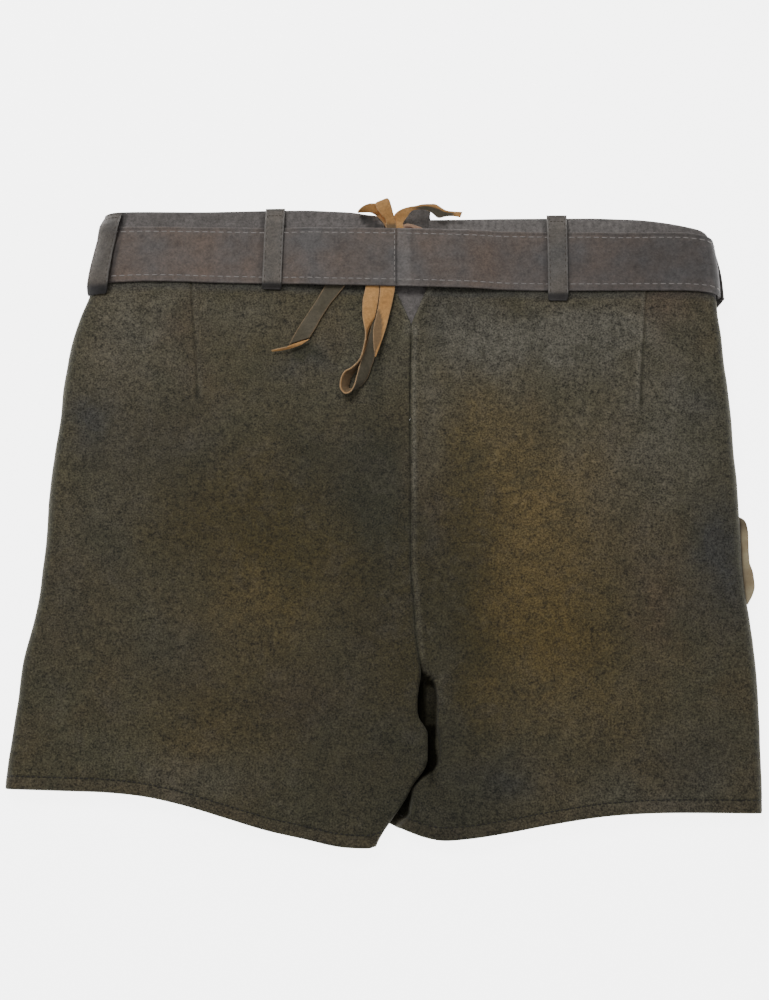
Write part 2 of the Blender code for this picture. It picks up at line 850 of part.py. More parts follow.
def build_keeper(finish):
    """A flat ring round both layers of the belt's front."""
    middle = float(belt_y(KEEPER_X, 0.5))
    low = TIP_Z - BELT_THICK / 2 - LIE
    high = FLAT_Z + BELT_THICK / 2 + LIE
    half = BELT_WIDE / 2 + LIE + KEEPER_LOOSE
    points = []
    for x in (KEEPER_X - KEEPER_WIDE / 2, KEEPER_X + KEEPER_WIDE / 2):
        for wall in (0, KEEPER_THICK):
            for y, z in ((-half - wall, low - wall), (half + wall, low - wall)):
                points.append((x, middle + y, z))
            for y, z in ((half + wall, high + wall), (-half - wall, high + wall)):
                points.append((x, middle + y, z))
    faces = []
    for step in range(4):
        after = (step + 1) % 4
        faces.append([step, after, 8 + after, 8 + step])
        faces.append([4 + step, 12 + step, 12 + after, 4 + after])
        faces.append([step, 4 + step, 4 + after, after])
        faces.append([8 + step, 8 + after, 12 + after, 12 + step])
    add_object("belt_keeper", points, faces, finish)


# Belt loops. On the back and front, top and foot are x. On a side they are the
# distance round the waistband from the start of the side fold.
LOOP_THICK = 1.6
LOOPS = {
    "loop_back_left": dict(side=-1, where="back", top=-78.0, foot=-77.0, wide=15.5),
    "loop_back_right": dict(side=1, where="back", top=126.0, foot=124.0, wide=17.5),
    "loop_side_left": dict(side=-1, where="fold", top=3.0, foot=-2.0, wide=15.5),
    "loop_side_right": dict(side=1, where="fold", top=15.0, foot=14.0, wide=15.5),
    "loop_front_left": dict(side=-1, where="front", top=-112.0, foot=-112.0, wide=15.5),
    "loop_front_right": dict(side=1, where="front", top=140.0, foot=140.0, wide=15.5),
}
LOOP_OVER = 1.5  # past the waistband's top edge
LOOP_BELOW = 5.0  # past the belt's lower edge
LOOP_RAMP = 0.9  # the loop is clear of the belt's edge by this much
FOOT_LIE = 0.6
LOOP_CLEAR = 0.6
LOOP_FOLD_CLEAR = 0.95
LOOP_ENDS = 0.8  # a loop's foot lies flat for this much
LOOP_TOP_FLAT = 2.0


def loop_rows(low, belt_low, belt_high, high):
    """Heights of a loop's rows, each with how far it has risen onto the belt."""
    foot, top = belt_low - LOOP_RAMP, belt_high + LOOP_RAMP
    flat, last = low + LOOP_ENDS, high - LOOP_TOP_FLAT
    rows = [(low, 0), (flat, 0), ((flat + foot) / 2, 0.5), (foot, 1)]
    rows += [(foot + (top - foot) * part, 1) for part in (0.33, 0.67)]
    rows += [(top, 1), ((top + last) / 2, 0.5), (last, 0), (high, 0)]
    return rows


def loop_point(spec, at, y, out):
    """A point of a belt loop; at is its place round the waist, and out its distance off it."""
    side = spec["side"]
    if spec["where"] == "back":
        return (at, y, float(back_z(side, at, y)) + out)
    if spec["where"] == "front":
        return (at, y, float(front_z(side, at, y)) - out)
    x_side = float(side_x(side, y))
    centre = x_side - side * FOLD
    half = (float(back_z(side, centre, y)) - float(front_z(side, centre, y))) / 2
    length = math.pi * (FOLD + half + 2 * out) / 2
    if at < 0:
        x = centre + side * at
        return (x, y, float(back_z(side, x, y)) + out)
    if at > length:
        x = centre - side * (at - length)
        return (x, y, float(front_z(side, x, y)) - out)
    x, z = side_fold(side, y, x_side, np.array([90 - 180 * at / length]), out)
    return (float(x[0]), y, float(z[0]))


def loop_over(spec, x):
    """Distance of a loop's inner face from the waistband where it crosses the belt."""
    gaps = {
        "back": float(belt_room(x)) + LOOP_CLEAR,
        "fold": BELT_FOLD_GAP + LOOP_FOLD_CLEAR,
        "front": BELT_GAP + LOOP_CLEAR,
    }
    return gaps[spec["where"]] + BELT_THICK


def loop_limits(spec, offset):
    """Heights of the belt's lower and upper edge and the waistband's top, where the loop crosses them."""
    guess_x = spec["foot"] if spec["where"] != "fold" else float(side_x(spec["side"], BELT_Y))
    low_x = loop_point(spec, spec["foot"] + offset, float(belt_y(guess_x, 0)), BELT_THICK)[0]
    high_x = loop_point(spec, spec["top"] + offset, float(belt_y(guess_x, 1)), BELT_THICK)[0]
    return float(belt_y(low_x, 0)), float(belt_y(high_x, 1)), float(edge_y(high_x))


LOOP_COLUMNS = {"back": 4, "fold": 9, "front": 3}


def build_loops(finish):
    for name, spec in LOOPS.items():
        across = (np.linspace(0, 1, LOOP_COLUMNS[spec["where"]]) - 0.5) * spec["wide"]
        layers = []
        for extra in (0.0, LOOP_THICK):
            columns = []
            for offset in across:
                belt_low, belt_high, edge = loop_limits(spec, offset)
                low = belt_low - LOOP_BELOW
                high = edge + LOOP_OVER
                column = []
                for y, rise in loop_rows(low, belt_low, belt_high, high):
                    at = spec["foot"] + (spec["top"] - spec["foot"]) * (y - low) / (high - low) + offset
                    out = FOOT_LIE + (loop_over(spec, at) - FOOT_LIE) * rise + extra
                    column.append(loop_point(spec, at, y, out))
                columns.append(column)
            layers.append(np.array(columns).transpose(1, 0, 2))
        slab(name, layers[1], layers[0], finish)


# ------------------------------------------------ gusset, pocket, laces

GUSSET = table("y left right", [
    (126, 12, 26),
    (139, 4, 34),
    (165, -6, 45),
    (188, -12, 54),
    (206, 10, 60),
    (212, 14, 58),
    (217, 14.5, 54),
    (217.6, 14.5, 32.5),
    (224.5, 14.5, 32.5),
])
GUSSET_WALL = 1.4
GUSSET_COLUMNS = 7
GUSSET_CLEAR = 1.3


def build_gusset(suede):
    rows = []
    for y, left, right in zip(GUSSET["y"], GUSSET["left"], GUSSET["right"]):
        row = []
        for x in np.linspace(left, right, GUSSET_COLUMNS):
            row.append((x, y, float(back_z(1, x, y)) - SUEDE - GUSSET_CLEAR))
        rows.append(row)
    grid = np.array(rows, float)
    drop = np.array([0, 0, GUSSET_WALL])
    slab("gusset", grid, grid - drop, suede)


LIP = table("y out", [
    (-59, 0.4),
    (-52, 4.2),
    (-45, 6.0),
    (-36, 6.2),
    (-29, 4.6),
    (-15, 5.6),
    (-6, 5.2),
    (-1, 1.0),
])
LIP_WALL = 1.6


def build_lip(finish):
    """The edge of the knife pocket, standing out from the side seam."""
    rows = []
    for y, out in zip(LIP["y"], LIP["out"]):
        x = float(side_x(1, y))
        z = (float(back_z(1, x - FOLD, y)) + float(front_z(1, x - FOLD, y))) / 2
        inner = x + LIE
        rows.append([(inner, y, z - 0.6), (inner + out * 0.5, y, z + 0.1), (inner + out, y, z + 0.6)])
    grid = np.array(rows, float)
    half = np.array([0, 0, LIP_WALL / 2])
    slab("pocket_lip", grid + half, grid - half, finish)


# A lace is a flat ribbon between two edges. Heights marked "over" are above
# the back's outer face, and the others are above the ground.
LACES = {
    "lace_end_left": ("over", table("ax ay az bx by bz", [
        (-27, 188, 0.9, -14, 188, 0.9),
        (-37, 177, 0.9, -22, 177, 0.9),
        (-43, 166, 0.9, -28.5, 167, 0.9),
        (-50, 154, 0.9, -35, 156, 0.9),
        (-56, 143, 0.9, -42, 145, 0.9),
        (-62, 133, 1.0, -49, 134, 0.9),
        (-68, 125.5, 1.8, -53, 128, 0.9),
        (-75, 121, 3.6, -56, 124.5, 1.0),
        (-80, 118, 5.2, -68, 120.3, 2.6),
    ])),
    "lace_loop_low": ("over", table("ax ay az bx by bz", [
        (-15, 184, 2.4, -4.3, 184, 2.4),
        (-15, 167, 2.4, -4.4, 167, 2.4),
        (-14.8, 155, 2.8, -4.8, 154, 2.3),
        (-14.4, 145, 4.8, -7.0, 143, 1.8),
        (-13.6, 134, 8.2, -10.6, 130, 1.2),
        (-16.2, 122, 8.0, -11.0, 117, 0.9),
        (-19.6, 115.5, 7.2, -12.6, 110, 0.9),
        (-24.0, 109.5, 6.6, -16.0, 104, 0.9),
        (-28.6, 104, 6.3, -20.0, 99, 0.9),
        (-31.2, 97.5, 6.2, -22.4, 93, 0.9),
        (-30.8, 91, 6.2, -22.0, 86.5, 0.9),
        (-28.2, 87.4, 6.2, -19.2, 83.5, 0.9),
        (-24.8, 89.5, 6.3, -15.4, 86, 0.9),
        (-22.0, 97, 6.4, -12.6, 94, 0.9),
        (-19.2, 106, 6.4, -10.0, 103.5, 0.9),
        (-15.6, 115, 6.2, -7.2, 113, 0.9),
        (-12.2, 124, 5.4, -4.2, 122.5, 0.9),
        (-8.6, 133, 3.6, -0.6, 132, 0.9),
        (-5.6, 143, 1.8, 3.6, 142, 0.9),
        (-3.8, 154, 1.0, 6.6, 154, 0.9),
        (-3.4, 167, 0.9, 7.8, 167, 0.9),
        (-3.2, 184, 0.9, 8.0, 184, 0.9),
    ])),
    "lace_end_low": ("over", table("ax ay az bx by bz", [
        (-3.4, 188, 2.5, 8.0, 188, 2.5),
        (-3.6, 167, 2.5, 7.8, 167, 2.5),
        (-4.0, 157, 2.7, 7.0, 157, 2.5),
        (-5.2, 148, 3.4, 5.6, 148, 2.6),
        (-6.8, 142, 4.4, 3.7, 142, 2.8),
        (-7.8, 133, 6.0, 1.0, 133, 3.4),
        (-7.6, 125, 7.2, -1.9, 125, 4.6),
        (-7.2, 117, 6.4, -5.6, 117, 5.4),
    ])),
    "lace_bow_left": ("ground", table("ax ay az bx by bz", [
        (-1.0, 206, 21.7, 9.0, 206, 21.7),
        (-0.6, 210.5, 21.9, 9.0, 210.5, 21.9),
        (-1.0, 215, 24.4, 8.6, 216, 24.4),
        (-3.0, 221, 28.4, 7.6, 222, 27.8),
        (-6.4, 227, 31.4, 4.6, 230.2, 31.0),
        (-8.8, 228.6, 31.8, -0.6, 232.4, 30.0),
        (-11.6, 227.6, 30.0, -7.6, 227.0, 25.4),
        (-15.5, 225.0, 28.0, -12.6, 221.6, 23.8),
        (-19.0, 220.8, 26.2, -16.4, 218.8, 21.8),
        (-19.4, 216.4, 24.2, -14.6, 214.4, 21.4),
        (-14.6, 211.0, 21.8, -9.6, 208.4, 20.9),
        (-9.6, 204.5, 21.3, -4.6, 202.0, 21.0),
    ])),
    "lace_end_right": ("ground", table("ax ay az bx by bz", [
        (10.4, 204, 21.9, 18.0, 202, 21.9),
        (10.4, 210.5, 22.0, 16.8, 208.6, 21.8),
        (11.4, 215.5, 25.4, 16.4, 212.6, 23.6),
        (14.6, 220.4, 28.0, 18.0, 214.6, 26.0),
        (21.0, 223.2, 29.6, 22.0, 218.0, 27.4),
        (29.0, 225.0, 30.2, 29.2, 219.0, 28.0),
        (38.0, 225.0, 29.4, 36.4, 217.4, 26.6),
        (44.6, 221.4, 28.0, 43.0, 214.8, 25.2),
        (51.0, 219.0, 27.0, 50.4, 215.6, 25.0),
        (57.0, 218.6, 26.4, 56.8, 215.4, 25.0),
    ])),
    "lace_cross": ("over", table("ax ay az bx by bz", [
        (14.8, 207.6, 1.0, 14.8, 199, 1.0),
        (20.0, 211.0, 1.1, 19.4, 202, 1.0),
        (27.0, 209.0, 1.1, 26.0, 199.6, 1.0),
        (34.0, 205.0, 1.0, 32.6, 195.6, 1.0),
        (48.0, 199.0, 1.0, 46.4, 189.6, 1.0),
    ])),
}
LACE_FINE = 2  # stations added between each pair in a table


def lace_edges(kind, rows):
    """The two edges of a lace, smooth through its table's rows."""
    count = len(rows["ax"])
    at = np.linspace(0, count - 1, (count - 1) * LACE_FINE + 1)
    knots = np.arange(count, dtype=float)
    edges = []
    for edge in "ab":
        points = np.stack([smooth(knots, rows[edge + axis], at) for axis in "xyz"], axis=1)
        if kind == "over":
            points[:, 2] += np.array([float(back_z(-1, x, y)) for x, y, _ in points])
        edges.append(points)
    return edges


def build_laces(lace_leather):
    for name, (kind, rows) in LACES.items():
        grid = np.array(lace_edges(kind, rows))
        facing = normals(grid, (0, 0, 1))
        slab(name, grid + facing * LACE_THICK / 2, grid - facing * LACE_THICK / 2, lace_leather)
    knot(lace_leather)


KNOT = dict(x=2.4, y=196.5, wide=15.0, deep=12.0, low=0.45, high=2.9)
KNOT_BEVEL = 0.7
KNOT_SIDES = 12


def knot(finish):
    """The flattened knot between the waistband and the belt."""
    low, high = KNOT["low"], KNOT["high"]
    turns = 2 * math.pi * (np.arange(KNOT_SIDES) + 0.5) / KNOT_SIDES
    levels = ((low, 0.8), (low + KNOT_BEVEL, 1.0), (high - KNOT_BEVEL, 1.0), (high, 0.8))
    points = []
    for z, share in levels:
        for turn in turns:
            x = KNOT["x"] + share * KNOT["wide"] / 2 * math.cos(turn)
            y = KNOT["y"] + share * KNOT["deep"] / 2 * math.sin(turn)
            points.append((x, y, WAIST_TOP + z))
    faces = ring_faces(KNOT_SIDES, len(levels))
    faces.append(list(range(KNOT_SIDES))[::-1])
    faces.append([(len(levels) - 1) * KNOT_SIDES + step for step in range(KNOT_SIDES)])
    add_object("lace_knot", points, faces, finish)


# ---------------------------------------------------------------- build


def main():
    for old in list(bpy.data.objects):
        bpy.data.objects.remove(old, do_unlink=True)
    suede = material("olive suede", (0.075, 0.062, 0.036))
    band = material("waistband suede", (0.085, 0.075, 0.065))
    belt_leather = material("belt leather", (0.080, 0.064, 0.052), 0.8)
    lace_leather = material("lace leather", (0.55, 0.30, 0.13), 0.85)
    lip_leather = material("pocket edge leather", (0.42, 0.32, 0.17))
    brass = material("brass", (0.60, 0.45, 0.22), 0.35, 1.0)
    horn = material("horn", (0.28, 0.20, 0.12), 0.4)
    build_panels(suede)
    build_flap(suede, horn)
    build_waistband(band)
    build_gusset(band)
    build_belt(belt_leather, brass)
    build_loops(belt_leather)
    build_lip(lip_leather)
    build_laces(lace_leather)


main()
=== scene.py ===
"""Short suede lederhosen with a leather belt: the pieces that show, their finishes and the light.

Tables and shaping are in millimetres, and meshes are made in metres. +X is the
wearer's right, +Y is the waist and +Z is up, out of the garment's back.
"""

import json
import math

import bpy
import numpy as np
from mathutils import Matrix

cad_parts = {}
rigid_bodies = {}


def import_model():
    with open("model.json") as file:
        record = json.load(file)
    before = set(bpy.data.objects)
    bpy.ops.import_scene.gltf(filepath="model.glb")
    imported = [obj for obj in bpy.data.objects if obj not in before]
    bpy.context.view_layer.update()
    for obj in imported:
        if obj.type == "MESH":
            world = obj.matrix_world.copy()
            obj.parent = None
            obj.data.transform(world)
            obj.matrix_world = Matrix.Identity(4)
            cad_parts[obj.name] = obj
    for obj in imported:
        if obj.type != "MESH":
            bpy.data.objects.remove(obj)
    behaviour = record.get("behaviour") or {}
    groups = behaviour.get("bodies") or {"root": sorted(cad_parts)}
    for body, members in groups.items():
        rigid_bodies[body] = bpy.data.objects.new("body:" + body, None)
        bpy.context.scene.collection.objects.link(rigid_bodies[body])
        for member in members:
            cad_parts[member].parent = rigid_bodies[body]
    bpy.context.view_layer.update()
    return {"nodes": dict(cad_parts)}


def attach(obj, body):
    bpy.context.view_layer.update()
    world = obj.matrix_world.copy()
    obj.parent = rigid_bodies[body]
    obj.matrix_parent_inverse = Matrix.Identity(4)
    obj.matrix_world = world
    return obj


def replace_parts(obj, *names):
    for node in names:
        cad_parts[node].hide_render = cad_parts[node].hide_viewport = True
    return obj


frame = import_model()
bpy.ops.object.select_all(action="DESELECT")

MM = 0.001

# ---------------------------------------------------------------- sizes

HALVES = ((-1, "left"), (1, "right"))
SUEDE = 1.6
HEM_WALL = 3.0
HEM_DEEP = 10.0  # the turned-up hem
THIN_WALL = 1.2  # where a leg is folded nearly flat
WALL_CLEAR = 0.7
SEAM = 0.3  # what parts neighbouring pieces
MEET = -0.3  # sewn edges press into each other by this
SEAM_X = 18.0
NOTCH_FOOT = 139.0
NOTCH_SPREAD = 0.43  # how far each side leans out, for each millimetre up
CROTCH = -112.0
CROTCH_RUN = 8.0
LEG_OPENS = 16.0  # how far above the crotch the legs start to part
LEG_RUN = 26.0
FOLD = 8.0  # half the width of the side fold
WAIST_TOP = 19.4  # heights of the back and the front waistband
WAIST_UNDER = 7.2
# The front rises to the waistband from this far below it, over this length.
RISE_DEEP = 63.0
RISE_OVER = 46.0
BUCKLE_ROOM = 4.2
BUCKLE_SPAN = (-40.0, 62.0, 30.0)
BELT_WIDE = 44.5
BELT_THICK = 2.4
BELT_GAP = 0.4
BELT_FOLD_GAP = 0.8
LACE_ROOM = 3.0
LACE_SPAN = (-46.0, 56.0, 34.0)
LACE_THICK = 1.1
LEG_LONG = 390.0


def table(columns, rows):
    """A dict of arrays, one for each named column."""
    names = columns.split()
    return dict(zip(names, np.array(rows, float).T))


SIDES = table("y left right", [
    (-226, -258, 254), (-205, -257, 255), (-180, -256.5, 256), (-154, -254, 255.5), (-127, -251, 255),
    (-99, -248, 254), (-71, -242, 252), (-44, -238, 249.5), (-15, -236, 248.5), (13, -235, 247.5),
    (42, -233, 246), (71, -230, 245), (101, -227, 243.5), (131, -221.5, 240.5), (146, -217, 238.5),
    (161, -211.5, 238), (178, -208.5, 237.5), (192, -206, 236), (208, -202, 233.5), (226, -198, 230),
])
INNER = table("y left right", [
    (-228, -7, -3), (-220, -3.5, -1), (-207, 5, 2), (-194, 14, 6), (-183, 20, 9), (-173, 27.5, 12),
    (-161, 29.5, 15), (-150, 29.5, 17.5), (-138, 23.2, 18.5), (-128, 22.6, 19.5), (-120, 23.5, 20.5),
    (-112, 24.9, 24.3),
])
CENTRE = table("y x", [(-112, 26.5), (-106, 25), (-87, 22), (-59, 20), (-31, 18), (83, 18), (139, 19)])
HEM_LEFT = table("x y", [
    (-262, -186.5), (-215, -188), (-188, -189), (-161, -192), (-134, -198), (-107, -206), (-80, -214),
    (-53, -220), (-30, -225), (-12, -226), (0, -223),
])
HEM_RIGHT = table("x y", [
    (0, -208), (14, -214), (28, -219), (41, -221), (55, -220), (82, -216), (109, -211), (149, -205),
    (203, -202.5), (260, -203),
])
HEM_MIDDLE = table("x y", [(-30, -225), (-12, -226), (18, -222), (41, -221), (55, -220)])
WAIST_SEAM = table("x y", [
    (-215, 170), (-188, 172), (11, 173), (68, 171), (125, 169), (182, 167), (224, 163), (242, 157),
])
WAIST_EDGE = table("x y", [
    (-215, 222), (-191, 223.2), (-125, 223.4), (-100, 224), (-60, 224.6), (-39, 223.9), (-21, 222.7),
    (-13.3, 221.4), (-6.9, 220.6), (-2.5, 219.6), (-0.4, 218.6), (15, 217.2), (34, 217.4), (54, 217.6),
    (83, 218.1), (108, 218.3), (147, 218.5), (168, 217.9), (184, 217.2), (206, 214.4), (218, 212),
    (229, 208.8), (236, 205.2), (243, 200.5),
])
BELT = table("x low high", [
    (-215, 167.3, 209.6), (-190, 169, 211), (-168, 169.8, 211.3), (-146, 169.5, 211.2), (-125, 168.7, 210.8),
    (-100, 168.1, 210.4), (-60, 167, 210), (-39, 166, 209.5), (-21, 165.8, 209.4), (11, 165.1, 209),
    (32, 164.6, 208.6), (54, 164, 207.9), (82, 163.2, 207.6), (126, 162.4, 207), (147, 162.5, 207),
    (168, 162.6, 206.6), (197, 162.8, 206.9), (218, 162.6, 206.5), (229, 161.8, 204.8), (239, 159.8, 201.6),
    (245, 157.5, 198.5),
])
BACK_HEIGHT = table("y z", [
    (-226, 11.5), (-190, 12), (-100, 13.5), (0, 15), (80, 16.8), (140, 18.8), (165, WAIST_TOP),
    (226, WAIST_TOP),
])
SWELLS = table("x y wide deep high", [
    (-115, 10, 95, 95, 2.6), (112, 0, 95, 100, 3.2), (-130, -130, 85, 45, 1.6), (140, -140, 85, 45, 1.8),
    (-60, 95, 40, 40, -0.8), (75, 90, 40, 45, -0.8),
])

# Below the crotch the left leg lies over the right one's inner edge, which is flat there.
LAP_LIFT = 5.6
LAP_THICK = 4.8
LAP_RUN = 42.0
LAP_AHEAD = 5.0
LAP_ABOVE = 14.0
LAP_FADE = 14.0

# Where the right leg rises again beside the left leg's edge, and over what width.
SHOULDER = table("y x run", [
    (-226, -2, 14), (-209, 8, 6), (-204, 14.5, 3), (-199, 15.8, 3), (-192, 17.2, 3), (-186, 18, 3),
    (-183, 20.5, 3), (-178, 24.5, 3), (-176, 27.5, 3), (-174.5, 30.5, 3), (-171, 33.2, 3), (-141, 34.4, 3),
    (-122, 34, 3), (-116, 32, 3), (-105, 28, 4),
])
# The fold of cloth at the top of the hollow between the legs.
INNER_FOLD = (28.5, 40.0, 2.5)
INNER_FOLD_SPAN = (-134.0, -100.0, 7.0)
INNER_FOLD_HIGH = 3.6

# ------------------------------------------------------------- curves


def smooth(knots, values, at):
    """A smooth curve through (knots, values), read at any place."""
    at = np.clip(at, knots[0], knots[-1])
    steps = np.diff(knots)
    slopes = np.diff(values) / steps
    inner = (slopes[:-1] * steps[1:] + slopes[1:] * steps[:-1]) / (steps[:-1] + steps[1:])
    inner = np.where(slopes[:-1] * slopes[1:] <= 0, 0, inner)
    tangents = np.concatenate([slopes[:1], inner, slopes[-1:]])
    i = np.clip(np.searchsorted(knots, at, side="right") - 1, 0, len(steps) - 1)
    t = (at - knots[i]) / steps[i]
    rise = values[i + 1] - values[i]
    leave = tangents[i] * steps[i] - rise
    arrive = tangents[i + 1] * steps[i] - rise
    return values[i] + rise * t + t * (1 - t) * ((1 - t) * leave - t * arrive)


def read(rows, column, at, by="y"):
    """A table's column as a smooth curve, read at any place."""
    return smooth(rows[by], rows[column], np.asarray(at, float))


def ease(value):
    """A smooth step from 0 to 1."""
    value = np.clip(value, 0, 1)
    return value * value * (3 - 2 * value)


def plateau(at, low, high, run):
    """1 between low and high, fading to 0 over run on both sides."""
    return ease((at - low) / run + 1) * ease((high - at) / run + 1)


def patch(x, y, across, along):
    """1 inside a rectangle; across and along are each (low, high, run)."""
    return plateau(x, *across) * plateau(y, *along)


def bell(distance, wide):
    """1 at no distance, fading to 0 over about wide."""
    return np.exp(-((distance / wide) ** 2))


LATTICE = 64
LATTICE_START = (101.3, 97.7)


def cloud(seed, size, x, y):
    """Smooth random values between -1 and 1 that change over about size millimetres."""
    lattice = np.random.default_rng(seed).uniform(-1, 1, (LATTICE, LATTICE))
    u, v = np.asarray(x) / size + LATTICE_START[0], np.asarray(y) / size + LATTICE_START[1]
    i, j = np.floor(u).astype(int), np.floor(v).astype(int)
    across, along = ease(u - i), ease(v - j)

    def at(row, column):
        return lattice[row % LATTICE, column % LATTICE]

    low = at(i, j) * (1 - across) + at(i + 1, j) * across
    high = at(i, j + 1) * (1 - across) + at(i + 1, j + 1) * across
    return low * (1 - along) + high * along


# ------------------------------------------------ surfaces of the garment


def side_x(side, y):
    """The outermost x of a side, which is -1 for left and 1 for right."""
    return read(SIDES, "right" if side > 0 else "left", y)


def inner_x(side, y):
    """Where a back panel ends on its inner side: centre seam, notch or inner fold."""
    y = np.asarray(y, float)
    above = read(CENTRE, "x", y) + side * (MEET + NOTCH_SPREAD * np.maximum(0, y - NOTCH_FOOT))
    below = read(INNER, "right" if side > 0 else "left", y)
    return below + (above - below) * ease((y - CROTCH) / CROTCH_RUN)


def back_z(side, x, y):
    """Height of the back's outer face."""
    height = read(BACK_HEIGHT, "z", y)
    for swell_x, swell_y, wide, deep, high in zip(*SWELLS.values()):
        away = ((x - swell_x) / wide) ** 2 + ((y - swell_y) / deep) ** 2
        height = height + high * ease(1 - np.sqrt(away))
    if side > 0:
        lap = ease((CROTCH + LAP_ABOVE - y) / LAP_FADE)
        up = ease((x - read(SHOULDER, "x", y)) / read(SHOULDER, "run", y))
        fold = INNER_FOLD_HIGH * patch(x, y, INNER_FOLD, INNER_FOLD_SPAN)
        height = height - lap * (1 - up) * (height - LAP_THICK - fold)
    return height


def front_z(side, x, y):
    """Height of the front's outer face, the underside."""
    room = BUCKLE_ROOM * plateau(x, *BUCKLE_SPAN)
    below_seam = read(WAIST_SEAM, "y", x, by="x") - y
    height = (WAIST_UNDER + room) * ease((RISE_DEEP - below_seam) / RISE_OVER)
    if side < 0:
        start = inner_x(1, y) - LAP_AHEAD - LAP_RUN
        lap = ease((CROTCH + LAP_ABOVE + 2 - y) / LAP_FADE)
        height = height + LAP_LIFT * lap * ease((x - start) / LAP_RUN)
    return height


def belt_room(x):
    """How far the belt's inner face stands off the back waistband."""
    return BELT_GAP + LACE_ROOM * plateau(x, *LACE_SPAN)


# -------------------------------------------------------- camera and floor

CAMERA_PLACE = (0.0, -0.2177, 1.0928)
CAMERA_TILT = 12.0
LENS = 74.03
SENSOR = 36.0


def add_camera():
    data = bpy.data.cameras.new("camera")
    data.sensor_fit = "HORIZONTAL"
    data.sensor_width = SENSOR
    data.lens = LENS
    camera = bpy.data.objects.new("camera", data)
    camera.location = CAMERA_PLACE
    camera.rotation_euler = (math.radians(CAMERA_TILT), 0, 0)
    bpy.context.scene.collection.objects.link(camera)
    bpy.context.scene.camera = camera


LIGHTS = [
    # name, place, points at, size, watts
    ("key_light", (-0.5, 0.85, 1.3), (0.0, 0.0, 0.0), 0.7, 14.5),
    ("fill_light", (0.9, -0.6, 1.5), (0.0, 0.0, 0.0), 1.4, 3.0),
    ("top_light", (0.0, 0.1, 2.1), (0.0, 0.0, 0.0), 1.8, 5.0),
]
WORLD_LIGHT = 0.22


def add_lights():
    for name, place, target, size, watts in LIGHTS:
        data = bpy.data.lights.new(name, "AREA")
        data.shape = "DISK"
        data.size = size
        data.energy = watts
        light = bpy.data.objects.new(name, data)
        light.location = place
        away = np.array(place) - np.array(target)
        flat = math.hypot(away[0], away[1])
        turn = math.atan2(away[1], away[0]) + math.pi / 2
        light.rotation_euler = (math.atan2(flat, away[2]), 0, turn)
        bpy.context.scene.collection.objects.link(light)
    world = bpy.data.worlds.new("studio")
    world.use_nodes = True
    backdrop = world.node_tree.nodes["Background"]
    backdrop.inputs["Color"].default_value = (1, 1, 1, 1)
    backdrop.inputs["Strength"].default_value = WORLD_LIGHT
    bpy.context.scene.world = world


# --------------------------------------------------------- shader graphs


class Socket:
    """An output socket that sums can be written with."""

    def __init__(self, graph, socket):
        self.graph, self.socket = graph, socket

    def sum_node(self, operation, *values):
        return self.graph.node("ShaderNodeMath", {"operation": operation}, dict(enumerate(values)))

    def __add__(self, other):
        return self.sum_node("ADD", self, other)

    def __sub__(self, other):
        return self.sum_node("SUBTRACT", self, other)

    def __rsub__(self, other):
        return self.sum_node("SUBTRACT", other, self)

    def __mul__(self, other):
        return self.sum_node("MULTIPLY", self, other)

    def __truediv__(self, other):
        return self.sum_node("DIVIDE", self, other)

    def clamp(self):
        return self.clamp_to(0.0, 1.0)

    def clamp_to(self, low, high):
        return self.graph.node("ShaderNodeClamp", {}, {"Value": self, "Min": low, "Max": high})

    __radd__ = __add__
    __rmul__ = __mul__


def opaque(colour):
    """A colour with its alpha, or a link as it is."""
    return colour if isinstance(colour, Socket) else (*colour, 1)


